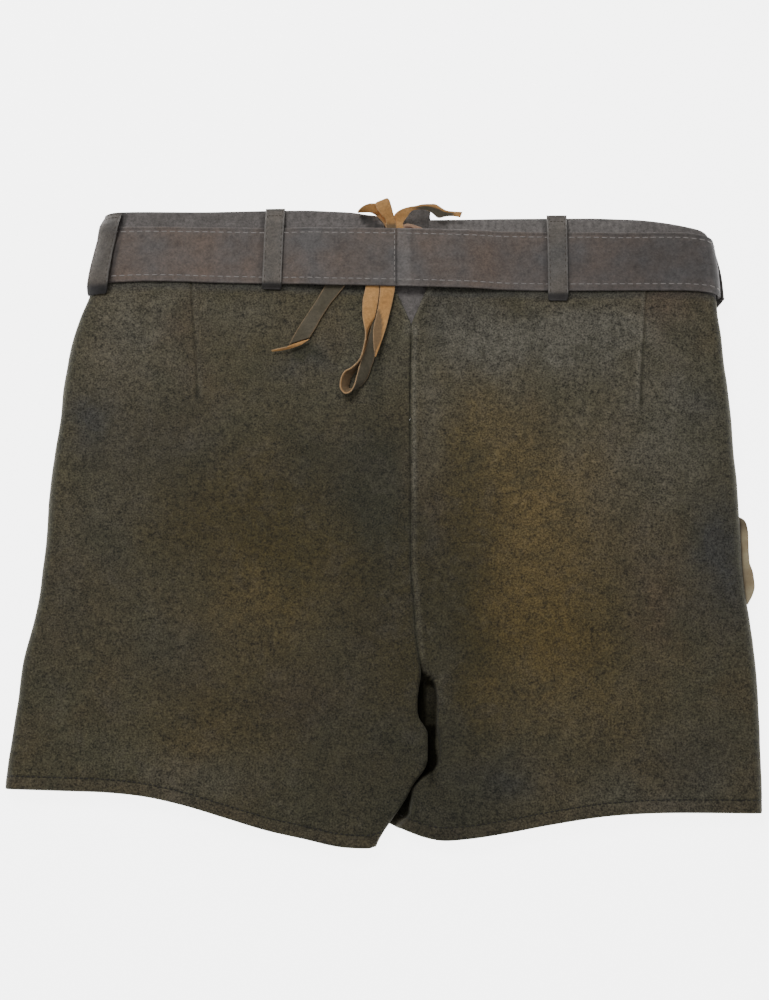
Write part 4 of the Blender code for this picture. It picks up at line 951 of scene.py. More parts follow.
# Patches for each tone: place, half width and height, strength. Most are the suede's uneven dye, but a few dark
# ones are painted shadow: under the curled end of the left lace, beside the low lace loop and at the foot of
# the hollow between the legs.
PATCHES = {
    "gold": [
        (110, 2, 48, 56, 0.85), (115, -81, 36, 30, 0.55), (59, -52, 28, 41, 0.5), (-72, -34, 38, 38, 0.3),
        (-45, 26, 28, 21, 0.35), (-172, 55, 34, 28, 0.25), (-111, -154, 41, 21, 0.35),
        (146, -127, 55, 34, 0.25), (60, 69, 41, 28, 0.35), (-100, -68, 40, 35, 0.45),
        (100, -86, 24, 36, 0.6),
    ],
    "smoke_and_shadow": [
        (-206, 70, 19, 22, 0.8), (57, 141, 32, 19, 0.7), (222, 78, 18, 18, 0.6), (233, -31, 19, 48, 1),
        (-14, 36, 29, 30, 0.6), (70, -180, 24, 19, 1), (-10, -73, 28, 41, 0.35), (-140, -86, 41, 28, 0.35),
        (212, -168, 34, 28, 0.4), (-223, -59, 15, 41, 0.3), (-158, 51, 42, 38, 0.5),
        # Painted shadow: the first patch of this line at the foot of the hollow between the legs, the other two
        # under the curled end of the left lace.
        (32, -207, 24, 12, 0.8), (-59, 113, 10, 8, 0.9), (-73, 103, 13, 9, 0.5),
    ],
    "pale": [
        (-181, 135, 36, 42, 0.6), (147, 135, 57, 30, 0.75), (74, 112, 34, 26, 0.55), (30, 66, 8, 60, 0.4),
        (-96, 150, 41, 15, 0.3), (-191, -3, 28, 41, 0.3), (41, -121, 10, 41, 0.4), (185, 50, 46, 50, 0.55),
        (112, 128, 62, 16, 0.6), (-22, 108, 38, 26, 0.4), (181, -195, 50, 14, 0.35),
        (-127, -183, 32, 16, 0.35), (75, 138, 26, 12, 0.35), (206, 90, 16, 16, 0.45),
    ],
    "deep": [
        (-37, -127, 41, 41, 0.35), (-3, 16, 20, 62, 0.85), (-128, -31, 34, 28, 0.3),
        (-220, -127, 21, 41, 0.1), (24, -161, 21, 41, 0.5), (-158, 51, 42, 38, 0.25),
        (-187, -24, 24, 36, 0.4), (-38, 25, 52, 40, 0.5), (38, -69, 27, 72, 0.65),
        # Painted shadow: (30, -212) at the foot of the hollow between the legs, (-4, 103) beside the low lace
        # loop, and (-60, 115.5) on the next line under the curled lace end.
        (-44, -156, 64, 38, 0.35), (-20, -200, 60, 26, 0.4), (30, -212, 34, 16, 0.9), (-4, 103, 5, 16, 0.7),
        (-60, 115.5, 8, 6, 0.9), (64, -184, 20, 16, 0.45), (48, -160, 14, 28, 0.35), (-57, 50, 14, 26, 0.4),
        (-145, 88, 16, 12, 0.25), (-204, -11, 16, 16, 0.25), (30, -11, 14, 14, 0.3), (1, -160, 14, 16, 0.3),
    ],
    "umber": [
        (34, -66, 32, 78, 0.9), (4, -68, 30, 40, 0.9), (-8, 5, 14, 70, 0.7), (-66, -12, 62, 55, 0.75),
        (-150, 8, 45, 45, 0.45), (110, -88, 60, 40, 0.5), (48, -140, 22, 45, 0.45),
        (-90, -120, 70, 40, 0.4), (60, 10, 34, 60, 0.3),
    ],
    "rust": [
        (203, 150, 19, 19, 0.5), (186, -59, 17, 41, 0.4), (-142, 128, 11, 28, 0.3),
        (-57, -127, 28, 21, 0.2), (32, 11, 14, 28, 0.2),
    ],
}


def patch_marks(x, y, under=False):
    """The share of each tone at every point. Underneath, the patches are mirrored and shifted."""
    marks = {tone: np.zeros(x.shape) for tone in TONES}
    bent_x = x + 9 * cloud(51, 26, x, y) + 4 * cloud(52, 11, x, y)
    bent_y = y + 9 * cloud(53, 26, x, y) + 4 * cloud(54, 11, x, y)
    if under:
        bent_x, bent_y = 20 - bent_x, bent_y + 25
    for tone, patches in PATCHES.items():
        for place_x, place_y, wide, high, strength in patches:
            away = ((bent_x - place_x) / wide) ** 2 + ((bent_y - place_y) / high) ** 2
            marks[tone] += strength * np.exp(-away * 0.9)
    return {tone: np.clip(mark, 0, 1) for tone, mark in marks.items()}


# The right edge of the dark hollow beside the left leg, and the strength of its shade.
HOLLOW = table("y x shade", [
    (-209, 6, 0), (-206, 12, 0.7), (-204, 15.5, 0.8), (-199, 16.6, 0.85), (-192, 18.4, 0.85), (-186, 20, 0.8),
    (-183, 22, 0.85), (-179.5, 26, 0.9), (-177.5, 29, 1.0), (-176, 32, 1.0), (-173, 34.4, 1.0),
    (-156, 35, 1.0), (-134, 35.6, 1.0), (-118, 35.1, 1.0), (-114, 33.8, 1.0), (-110.5, 31, 1.0),
    (-108, 27.5, 0.9), (-104, 25.5, 0.5), (-96, 22, 0.2), (-90, 20, 0),
])

HOLLOW_SOFT = 2.4
# The shade under the turned-up end of the left lace, round its corners.
CURL_SHADE = [(-52, 127), (-66.3, 119.3), (-64.3, 113.5), (-57.6, 109.5), (-50.8, 125.7)]


def within(corners, x, y, soft):
    """1 inside a shape with its corners in anticlockwise order, with soft edges."""
    share = 1 + 0 * x
    for (x1, y1), (x2, y2) in zip(corners, corners[1:] + corners[:1]):
        away = ((x2 - x1) * (y - y1) - (y2 - y1) * (x - x1)) / math.hypot(x2 - x1, y2 - y1)
        share = share * ease(away / soft + 0.5)
    return share


def hollow_mark(x, y):
    """The shade between the legs, with a paler fold in it and a faint shade above the hem."""
    inner_fold = 0.3 * patch(x, y, (29, 40, 1.2), (-142, -119, 2))
    faint = 0.35 * patch(x, y, (29, 34.6, 1), (-185, -174, 2))
    reach = ease((read(HOLLOW, "x", y) + HOLLOW_SOFT / 2 - x) / HOLLOW_SOFT)
    return np.maximum((read(HOLLOW, "shade", y) - inner_fold) * reach, faint)


def add_to(marks, tone, amount):
    """Adds to a mark, which stays between 0 and 1."""
    marks[tone] = np.clip(marks[tone] + amount, 0, 1)


def back_marks(side, grid, facing):
    """The tones of a back panel: patches, paler seam edges, dark seam, dart and hem lines, and painted shade
    under the belt, under the curled lace end, in the dart's dimple, in the hollow between the legs and on the
    side folds.
    """
    x, y = grid[..., 0], grid[..., 1]
    marks = patch_marks(x, y)
    from_seam = side * (x - inner_x(side, y))
    above = hem_height(side, x, y)
    below_belt = belt_y(x, 0) - y
    closed = 1 - leg_open(y)
    sewn = ease((y - DART_FOOT[side] + 1) / 4)
    dart = x - read(DARTS[side], "x", y)
    dimple = bell(np.hypot(dart, (y - DART_FOOT[side] - 3) / 2.2), 2.0)
    # Paler along the seam's ridge, at the notch and beside the darts, most on the right half.
    seam_paling = 0.24 + 0.34 * ease((y + 5) / 30) if side > 0 else 0.0
    pale_seam_edges = closed * ease((NOTCH_FOOT - y) / 6) * bell(from_seam - SEAM_CREST, 1.9) * seam_paling
    pale_seam_edges += ease((y - NOTCH_FOOT) / 10) * bell(from_seam - 0.5, 2.2) * 0.6
    pale_seam_edges += 0.7 * bell(np.hypot(from_seam - 1, y - NOTCH_FOOT + 3), 5)
    pale_seam_edges += (0.448 if side > 0 else 0.168) * sewn * bell(dart + DART_EDGE * side, 1.6)
    add_to(marks, "pale_seam_edges", pale_seam_edges)
    add_to(marks, "rust", 0.15 * ease((HEM_STITCH - above) / 2) * ease((above - 0.8) / 1.4))
    # Painted shade along the belt's lower edge.
    add_to(marks, "smoke_and_shadow", 0.9 * ease((7 - below_belt) / 5))
    add_to(marks, "deep", 0.3 * ease((6 - below_belt) / 4))
    # Painted shade in the hollow between the legs, on the right; painted shadow under the curled lace end, on
    # the left.
    if side > 0:
        marks["hollow"] = hollow_mark(x, y)
    else:
        add_to(marks, "deep", 0.75 * within(CURL_SHADE, x, y, 1.6))
    # Dark seam and dart lines, and painted shade in the dimple at the dart's foot.
    add_to(marks, "deep", closed * bell(from_seam, 1.1) + 0.8 * sewn * bell(dart, 0.8) + 0.9 * dimple)
    add_to(marks, "deep", 0.55 * bell(above - HEM_STITCH, 0.8) + 0.7 * bell(above, 0.8))
    # Painted shade on the side folds, which face away from the light.
    add_to(marks, "deep", 0.8 * (side * (x - SEAM_X) > SIDE_REACH) * sideways_shade(facing))
    return marks


def panel_walls(side, grid, above):
    """Wall thickness at each point: double at the hem's turn-up, less where a leg is folded flat."""
    x, y = grid[..., 0], grid[..., 1]
    walls = np.where(above <= HEM_DEEP, HEM_WALL, SUEDE)
    room = back_z(side, x, y) - front_z(side, x, y)
    return np.minimum(walls, np.maximum(room / 2 - WALL_CLEAR, THIN_WALL))


def inner_facing(side, grid, towards):
    """Where the inner edge faces: along the cloth at a seam, and sideways where a leg folds."""
    turn = np.radians((SEAM_START if towards > 0 else 90) * (1 - leg_open(grid[:, 0, 1])))
    return np.stack([-side * np.cos(turn), np.zeros(len(turn)), towards * np.sin(turn)], axis=1)


def add_panel(side, name, node, grid, facing, relief, marks, suede, cells=None, edge=0.3):
    """A panel of suede; relief is what its face stands out. Returns it and its hem's stitches."""
    face = grid + facing * relief[..., None]
    above = hem_height(side, grid[..., 0], grid[..., 1])
    back = grid - facing * panel_walls(side, grid, above)[..., None]
    made = shell(name, face, back, suede, cells, marks=marks, edge=edge)
    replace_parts(made, node)
    return made, hem_row(face, facing, above)


def add_panels(suede, thread):
    pieces, hems = {}, []
    for side, word in HALVES:
        grid = back_grid(side)
        facing = normals(grid, (0, 0, 1))
        facing[:, 0] = inner_facing(side, grid, 1)
        fade = np.ones(grid.shape[1])
        fade[-6:] = (0.8, 0.6, 0.4, 0.2, 0.1, 0)
        made, hem = add_panel(side, "back_panel_" + word, "back_" + word, grid, facing,
                              back_relief(side, grid) * fade, back_marks(side, grid, facing), suede, edge=0.4)
        pieces[made.name] = (made, grid)
        hems.append(hem)

        grid = front_grid(side)
        facing = normals(grid, (0, 0, -1))
        facing[:, 0] = inner_facing(side, grid, -1)
        cells = np.ones((grid.shape[0] - 1, grid.shape[1] - 1), bool)
        beside_flap = len(SEAM_TURNS) + FRONT_COUNTS[0] - 1
        cells[FRONT_ROWS[:-1] >= FLAP_SHARE - 1e-6, :beside_flap] = False
        marks = patch_marks(grid[..., 0], grid[..., 1], under=True)
        made, hem = add_panel(side, "front_panel_" + word, "front_" + word, grid, facing,
                              -under_relief(side, grid), marks, suede, cells)
        pieces[made.name] = (made, grid)
        hems.append(hem)
    stitches("hem_stitches", hems, thread)
    return pieces


def at_height(height, heights, grid):
    """The points, or the normals, of a grid's columns where its rows reach a height."""
    return np.array([[np.interp(height, heights[:, column], grid[:, column, axis]) for axis in range(3)]
                     for column in range(grid.shape[1])])


def hem_row(face, facing, above):
    """The stitches along a panel's hem."""
    path, ups = (at_height(HEM_STITCH, above[:HEM_REACH], grid[:HEM_REACH]) for grid in (face, facing))
    return stitch_row(path, ups, 0.1, HEM_PITCH, HEM_DASH, 0.42)


# ----------------------------------------------------- waistband and belt


def seam_y(x):
    """The waistband's lower edge, where it is sewn on."""
    return read(WAIST_SEAM, "y", x, by="x") + MEET


def edge_y(x):
    """The waistband's upper edge."""
    return read(WAIST_EDGE, "y", x, by="x")


def belt_y(x, share):
    """The y of a share of the belt's width, from its lower edge."""
    low = read(BELT, "low", x, by="x")
    return low + (read(BELT, "high", x, by="x") - low) * share


BAND_ROWS = np.linspace(0, 1, 22)
BAND_BACK, BAND_FRONT = 110, 50  # columns of points across the back and the front
BAND_Y = 195.0
RIB_PITCH = 5.0
RIB_SPAN = (1.2, 7.5, 1.5)  # below the upper edge
PALER_ACROSS = (48, 172, 10)
PALER_SPAN = (1.5, 14, 1.5)
# The shade behind the bow, on the left half, and how much it leans.
BOW_SHADE = (-11, 0, 1.6)
BOW_SHADE_LEAN = 1.15
BOW_Y = 211.0
# Where the waistband ends at the notch above the belt, and from what height.
BAND_ENDS = {-1: -0.4, 1: 32.0}
BAND_NARROWS = 196.0


def band_inner(side, y):
    """Where the waistband ends at the notch, which is narrower above the belt."""
    above = BAND_ENDS[side]
    return float(inner_x(side, y) + (above - inner_x(side, y)) * ease((y - BAND_NARROWS) / 10))


def ring_line(side, y, start, front_end):
    """A line round half the waist, from the centre back over the fold to the centre front."""
    x_side = side_x(side, y)
    run_end = x_side - side * FOLD
    back_x = start + (run_end - start) * np.linspace(0, 1, BAND_BACK)
    fold_x, fold_z = side_fold(side, y, x_side, FOLD_TURNS[1:-1])
    front_x = run_end + (front_end - run_end) * np.linspace(0, 1, BAND_FRONT)
    xs = np.concatenate([back_x, fold_x, front_x])
    zs = np.concatenate([back_z(side, back_x, y), fold_z, front_z(side, front_x, y)])
    return xs, zs


LOOP_FOOT_Y = 167.0
LOOP_HIGH = 55.0


def beside_loops(x, y):
    """Shade in the waistband and the belt where the back's loops cross them."""
    shade = 0 * x
    for spec in LOOPS.values():
        if spec["where"] == "back":
            reach = spec["wide"] / 2 + 1.6
            shade = shade + 0.38 * plateau(x, spec["foot"] - reach, spec["foot"] + reach, 1.6)
    left = LOOPS["loop_side_left"]
    part = np.clip((y - LOOP_FOOT_Y) / LOOP_HIGH, 0, 1)
    edge = side_x(-1, y) + FOLD - left["foot"] - (left["top"] - left["foot"]) * part + left["wide"] / 2
    return shade + 0.6 * plateau(x, edge - 30, edge + 2.6, 1.2)


def sideways_shade(facing):
    """1 where a surface faces sideways, so it is seen edge on from above; such faces get painted shade."""
    return ease((np.abs(facing[..., 0]) - 0.06) / 0.5)


def add_waistband(suede):
    pieces = []
    for side, word in HALVES:
        rows = []
        for share in BAND_ROWS:
            y_back = seam_y(SEAM_X) + (edge_y(SEAM_X) - seam_y(SEAM_X)) * share
            x_side = float(side_x(side, BAND_Y))
            y_side = seam_y(x_side) + (edge_y(x_side) - seam_y(x_side)) * share
            xs, zs = ring_line(side, y_side, band_inner(side, y_back), SEAM_X + side * SEAM / 2)
            rows.append(np.stack([xs, seam_y(xs) + (edge_y(xs) - seam_y(xs)) * share, zs], axis=1))
        grid = np.array(rows)
        facing = normals(grid, (0, 0, 1))
        if facing[len(rows) // 2, 1, 2] < 0:
            facing = -facing
        x, y = grid[..., 0], grid[..., 1]
        below = edge_y(x) - y
        rib = 0.5 + 0.5 * np.cos(2 * math.pi * x / RIB_PITCH)
        ribs = rib ** 3 * plateau(below, *RIB_SPAN)
        relief = -0.22 * ribs - 0.4 * bell(below, 1.0)
        relief = relief + 0.18 * np.minimum(cloud(61, 12, x, y), 0.3) - 0.10 - 0.35 * bell(y - seam_y(x), 1.2)
        face = grid + facing * relief[..., None]
        # Painted shade in the rib grooves, beside the loops, behind the bow and on the sideways faces; darker
        # too along the seam and just under the top edge.
        deep = 0.20 * ribs + 0.5 * bell(y - seam_y(x), 1.4)
        deep = deep + 0.25 * bell(below - 0.6, 0.9) + beside_loops(x, y)
        if side < 0:
            bow = plateau(x + (y - BOW_Y) * BOW_SHADE_LEAN, *BOW_SHADE)
            deep = deep + 0.75 * bow * ease((x + 19) / 3)
        deep = deep + 0.35 * sideways_shade(facing)
        # Paler over the right half of the back.
        tone_and_painted_shading = 0.55 * patch(x, below, PALER_ACROSS, PALER_SPAN) * (side > 0)
        marks = {"deep": (np.clip(deep, 0, 1), 0 * deep), "tone_and_painted_shading": tone_and_painted_shading}
        made = shell("waist_band_" + word, face, grid - facing * SUEDE, suede, edge=0.35, marks=marks)
        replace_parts(made, "waistband_" + word)
        pieces.append((made, grid))
    return pieces


# The buckle's bar, the fold of thinned belt round it, and the heights of the other end.
FRAME_X = 6.0
FRAME_Z = 6.8
LOOP_RADIUS = 2.05
SKIVED = 1.1
TIP_X = -62.0
TIP_Z = 2.75
TOE_Z = 9.5
# The join at the centre back, and where the front ends begin.
BELT_JOIN_X = 8.6
BELT_JOIN_SEWN = 7.2
BELT_LAP = 0.3
BELT_FRONT_END = 95.0
BELT_Y = 185.0
FLAT_Z = WAIST_UNDER - BELT_GAP - BELT_THICK / 2
LIE = 0.35
BELT_SHARES = np.array([0, 0.02, 0.045, 0.075, 0.095, 0.11, 0.125, 0.145, 0.2, 0.28, 0.36, 0.45, 0.55,
                        0.64, 0.72, 0.8, 0.87, 0.88, 0.9, 0.92, 0.95, 0.98, 1])
BELT_STITCH_LOW = 4.9  # from the lower edge
BELT_STITCH_HIGH = 4.4  # from the upper edge
BELT_PITCH = 5.85
BELT_DASH = 3.9
STITCH_LIFT = 0.12
BELT_TURNS = FOLD_TURNS[1:-1]
# Columns of points: across the back, across the front, and in all of half the belt.
BELT_BACK = 120
BELT_FRONT = 14
BELT_HALF = BELT_BACK + len(BELT_TURNS) + BELT_FRONT
BELT_CREASE = 2.1  # the line pressed along the belt's upper edge
BELT_BAND = (10.2, 17.9)  # the rubbed band beside the join
BELT_LAP_END = 18.6
BELT_DARKENS = 120.0
LINE_PARTS = 3


def half_belt(side, share):
    """The belt's middle line from the join at the centre back to where the front ends begin."""
    y = float(belt_y(float(side_x(side, BELT_Y)), share))
    x_side = float(side_x(side, y))
    run_end = x_side - side * FOLD
    start = BELT_JOIN_X - side * BELT_LAP
    x = start + (run_end - start) * np.linspace(0, 1, BELT_BACK)
    z = back_z(side, x, y) + belt_room(x) + BELT_THICK / 2
    fold_x, fold_z = side_fold(side, y, x_side, BELT_TURNS, BELT_FOLD_GAP + BELT_THICK / 2)
    front_x = run_end + (SEAM_X + side * BELT_FRONT_END - run_end) * np.linspace(0, 1, BELT_FRONT)
    xs, zs = np.concatenate([x, fold_x, front_x]), np.concatenate([z, fold_z, front_x * 0 + FLAT_Z])
    return np.stack([xs, zs], axis=1)


def subdivided(points):
    """The points of a line, with more between them."""
    points = np.array(points, float)
    places = np.linspace(0, len(points) - 1, (len(points) - 1) * LINE_PARTS + 1)
    return np.stack([np.interp(places, np.arange(len(points)), points[:, axis]) for axis in range(2)], axis=1)


def strap(side, word, front_line, thick, slot, finish):
    """Half the belt. front_line goes on from half_belt, in x and z; slot is where the prong passes."""
    thick = np.asarray(thick, float)[None, :, None]
    lines = np.array([np.concatenate([half_belt(side, share), front_line]) for share in BELT_SHARES])
    ahead = np.gradient(lines, axis=1)
    ahead /= np.linalg.norm(ahead, axis=2, keepdims=True)
    aside = np.stack([-ahead[..., 1], ahead[..., 0]], axis=2)
    layers = []
    for sign in (0.5, -0.5):
        edge = lines + aside * thick * sign
        y = belt_y(edge[..., 0], BELT_SHARES[:, None])
        layers.append(np.stack([edge[..., 0], y, edge[..., 1]], axis=2))
    middle = len(BELT_SHARES) // 2
    outer = int(layers[1][middle, 10, 2] > layers[0][middle, 10, 2])
    face, back = layers[outer], layers[1 - outer]
    out = (face - back) / np.linalg.norm(face - back, axis=2, keepdims=True)
    from_low = BELT_WIDE * BELT_SHARES[:, None]
    from_high = BELT_WIDE * (1 - BELT_SHARES)[:, None]
    x, y = face[..., 0], face[..., 1]
    on_back = (np.arange(lines.shape[1]) < BELT_BACK)[None, :]
    crease = bell(from_high - BELT_CREASE, 0.7)
    sewn = bell(from_low - BELT_STITCH_LOW, 0.8) + bell(from_high - BELT_STITCH_HIGH, 0.8)
    relief = -0.22 * sewn - 0.35 * bell(np.minimum(from_low, from_high), 1.3) - 0.2 * crease - 0.05
    relief = relief + 0.12 * cloud(71, 30, x, y) + 0.08 * cloud(72, 9, x, y) - 0.1
    relief = relief - on_back * 0.15 * bell(x - BELT_JOIN_X, 0.8)
    edge = 0.6 * bell(from_low, 1.4) + 0.75 * bell(from_high, 1.5) + 0.25 * sewn + 0 * x
    edge = np.clip(edge + 0.55 * on_back * plateau(x, *BELT_BAND, 0.9), 0, 1)
    joins = 0.35 * bell(x - BELT_LAP_END, 0.7) + 0.25 * bell(x - BELT_JOIN_X, 0.7)
    # Painted shade on the sideways faces and beside the loops; darker too in the pressed crease, at the joins
    # and towards the right end.
    deep = 0.30 * crease + 0.5 * sideways_shade(out)
    deep = deep + on_back * (joins + beside_loops(x, y) + 0.22 * ease((x - BELT_DARKENS) / 50))
    inner = ease((from_low - 8) / 6) * ease((from_high - 6) / 6)
    deep = np.clip(deep + 0.12 * inner * (cloud(73, 24, x, y) > 0.2), 0, 1)
    cells = np.ones((len(BELT_SHARES) - 1, lines.shape[1] - 1), bool)
    slot_row = int(np.argmin(np.abs(BELT_SHARES - 0.45)))
    cells[slot_row, slot[0]:slot[1]] = False
    face = face + out * relief[..., None]
    marks = {"edge": (edge, edge * 0), "deep": (deep, deep * 0)}
    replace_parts(shell("belt_strap_" + word, face, back, finish, cells, edge=0.5, marks=marks), "belt_" + word)
    rows = []
    for share in (BELT_STITCH_LOW / BELT_WIDE, 1 - BELT_STITCH_HIGH / BELT_WIDE):
        row, ups = (across_belt([share], layer, range(BELT_HALF))[0] for layer in (face, out))
        rows.append(stitch_row(row, ups, STITCH_LIFT, BELT_PITCH, BELT_DASH, 0.38, start=0.6))
    return rows, face


def across_belt(shares, layer, columns):
    """A layer of the belt read at shares of its width, in some of its columns."""
    return np.array([[[np.interp(share, BELT_SHARES, layer[:, column, axis]) for axis in range(3)]
                      for column in columns] for share in shares])


def add_belt(leather, thread):
    """Both halves: the left one folds round the buckle's bar, and the right one runs through the frame."""
    fold_back = [(FRAME_X - 7, FLAT_Z - 0.3), (FRAME_X - 3, FRAME_Z - LOOP_RADIUS)]
    for angle in (-90, -45, 0, 45, 90):
        turn = math.radians(angle)
        fold_back.append((FRAME_X + LOOP_RADIUS * math.cos(turn), FRAME_Z + LOOP_RADIUS * math.sin(turn)))
    fold_back += [(FRAME_X - 4, FRAME_Z + LOOP_RADIUS + 0.1)]
    fold_back += [(FRAME_X - 12, FLAT_Z + (BELT_THICK + SKIVED) / 2 + LIE + 0.3)]
    flat = [(-45, FLAT_Z), (-30, FLAT_Z), (FRAME_X - 12, FLAT_Z)]
    over_toe = [(78, FLAT_Z + 0.6), (66, TOE_Z - 1.0), (56, TOE_Z), (44, TOE_Z), (FRAME_X + 24, TOE_Z)]
    ramp = [(FRAME_X + 20, TOE_Z - 1.6), (FRAME_X + 8, TIP_Z + 1.1), (FRAME_X + 4, TIP_Z + 0.1)]
    tip = [(FRAME_X - 4, TIP_Z), (-30, TIP_Z), (-46, TIP_Z), (TIP_X, TIP_Z)]
    ends = {-1: flat + fold_back, 1: over_toe + ramp + tip}
    rows, faces = [], {}
    for side, word in HALVES:
        front_line = subdivided([(SEAM_X + side * BELT_FRONT_END, FLAT_Z)] + ends[side])[1:]
        thick = np.full(BELT_HALF + len(front_line), BELT_THICK)
        slot = (BELT_HALF + 17, BELT_HALF + 22)
        if side < 0:
            thin = [SKIVED] * (len(front_line) - 13)
            thick[BELT_HALF + 9:] = np.linspace(BELT_THICK, SKIVED, 4).tolist() + thin
            slot = (BELT_HALF + 12, len(thick) - 4)
        sewn, faces[side] = strap(side, word, front_line, thick, slot, leather)
        rows += sewn
    column = int(np.argmin(np.abs(faces[-1][0, :BELT_BACK, 0] - BELT_JOIN_SEWN)))
    join = across_belt(np.linspace(0.06, 0.94, 12), faces[-1], [column])[:, 0]
    rows.append(stitch_row(join, np.tile([0, 0, 1.0], (len(join), 1)), STITCH_LIFT, 4.0, 2.8, 0.34))
    stitches("belt_stitches", rows, thread)


LOOP_THICK = 1.6
# lit is about how far below the belt's lower edge a loop stays free of painted shade, and soft the run over
# which that shade deepens.
LOOP_TERMS = "side where top foot wide over below lit swell soft".split()
LOOPS = {name: dict(zip(LOOP_TERMS, terms)) for name, *terms in (
    ("loop_back_left", -1, "back", -78.6, -80.4, 14.0, 0.5, 4.0, 0.0, 0.0, 2),
    ("loop_back_right", 1, "back", 124.0, 123.6, 14.5, 1.5, 7.2, 2.4, 0.0, 2),
    ("loop_side_left", -1, "fold", 5.6, 1.8, 15.5, -1.6, 8.0, 1.0, 2.4, 5),
    ("loop_side_right", 1, "fold", 34.0, 24.0, 15.5, -1.0, 6.0, 1.0, 0.0, 5),
    ("loop_front_left", -1, "front", -112.0, -112.0, 15.5, 1.5, 5.0, 1.0, 0.0, 2),
    ("loop_front_right", 1, "front", 140.0, 140.0, 15.5, 1.5, 5.0, 1.0, 0.0, 2),
)}
LOOP_RAMP = 0.9
FOOT_LIE = 0.6
LOOP_CLEAR = 0.6
LOOP_FOLD_CLEAR = 0.65
LOOP_ENDS = 0.8
LOOP_TOP_FLAT = 2.0
# Lift, pitch, length and radius of the stitches along a loop's edges and across its top.
LOOP_EDGE_STITCH = (0.05, 4.6, 2.0, 0.28)
LOOP_BAR_STITCH = (0.05, 2.6, 1.7, 0.3)
LOOP_ACROSS = np.array([0, 0.06, 0.12, 0.2, 0.35, 0.5, 0.65, 0.8, 0.88, 0.94, 1])


def loop_rows(low, belt_low, belt_high, high):
    """Heights of a loop's rows, each with how far it has risen onto the belt."""
    foot, top = belt_low - LOOP_RAMP, belt_high + LOOP_RAMP
    flat, last = low + LOOP_ENDS, high - LOOP_TOP_FLAT
    rows = [(low, 0), (low + LOOP_ENDS / 2, 0)]
    rows += [(flat + (foot - flat) * part, part) for part in np.linspace(0, 1, 7)]
    rows += [(foot + (top - foot) * part, 1) for part in np.linspace(0, 1, 18)[1:]]
    rows += [(top + (last - top) * part, 1 - part) for part in np.linspace(0, 1, 7)[1:]]
    rows += [((last + high) / 2, 0), (high, 0)]
    return rows


def loop_point(spec, at, y, out):
    """A point of a belt loop; at is its place round the waist, and out its distance off it."""
    side = spec["side"]
    if spec["where"] == "back":
        return (at, y, float(back_z(side, at, y)) + out)
    if spec["where"] == "front":
        return (at, y, float(front_z(side, at, y)) - out)
    x_side = float(side_x(side, y))
    centre = x_side - side * FOLD
    half = (float(back_z(side, centre, y)) - float(front_z(side, centre, y))) / 2
    length = math.pi * (FOLD + half + 2 * out) / 2
    if at < 0:
        x = centre + side * at
        return (x, y, float(back_z(side, x, y)) + out)
    if at > length:
        x = centre - side * (at - length)
        return (x, y, float(front_z(side, x, y)) - out)
    x, z = side_fold(side, y, x_side, 90 - 180 * at / length, out)
    return (float(x), y, float(z))


def loop_over(spec, x):
    """Distance of a loop's inner face from the waistband where it crosses the belt."""
    gaps = {"back": float(belt_room(x)) + LOOP_CLEAR, "fold": BELT_FOLD_GAP + LOOP_FOLD_CLEAR,
            "front": BELT_GAP + LOOP_CLEAR}
    return gaps[spec["where"]] + BELT_THICK


def loop_limits(spec, offset):
    """Where the loop crosses the belt's lower and upper edge and the waistband's top."""
    guess_x = spec["foot"] if spec["where"] != "fold" else float(side_x(spec["side"], BELT_Y))
    low_x = loop_point(spec, spec["foot"] + offset, float(belt_y(guess_x, 0)), BELT_THICK)[0]
    high_x = loop_point(spec, spec["top"] + offset, float(belt_y(guess_x, 1)), BELT_THICK)[0]
    return float(belt_y(low_x, 0)), float(belt_y(high_x, 1)), float(edge_y(high_x))


def loop_layer(spec, extra):
    """The points of a loop's inner face, or of its outer one with extra for its thickness."""
    columns = []
    for offset in (LOOP_ACROSS - 0.5) * spec["wide"]:
        belt_low, belt_high, edge = loop_limits(spec, offset)
        low, high = belt_low - spec["below"], edge + spec["over"]
        column = []
        for y, rise in loop_rows(low, belt_low, belt_high, high):
            at = spec["foot"] + (spec["top"] - spec["foot"]) * (y - low) / (high - low)
            at = at + offset * (1 - 0.16 * float(bell(y - low, 0.9)))
            swell = spec["swell"] * (ease((194 - y) / 24) * min(1, (y - low) / 5) + 0.7 * ease((y - 200) / 8))
            out = FOOT_LIE + (loop_over(spec, at) - FOOT_LIE) * rise + swell + extra
            column.append(loop_point(spec, at, y, out))
        columns.append(column)
    return np.array(columns).transpose(1, 0, 2)


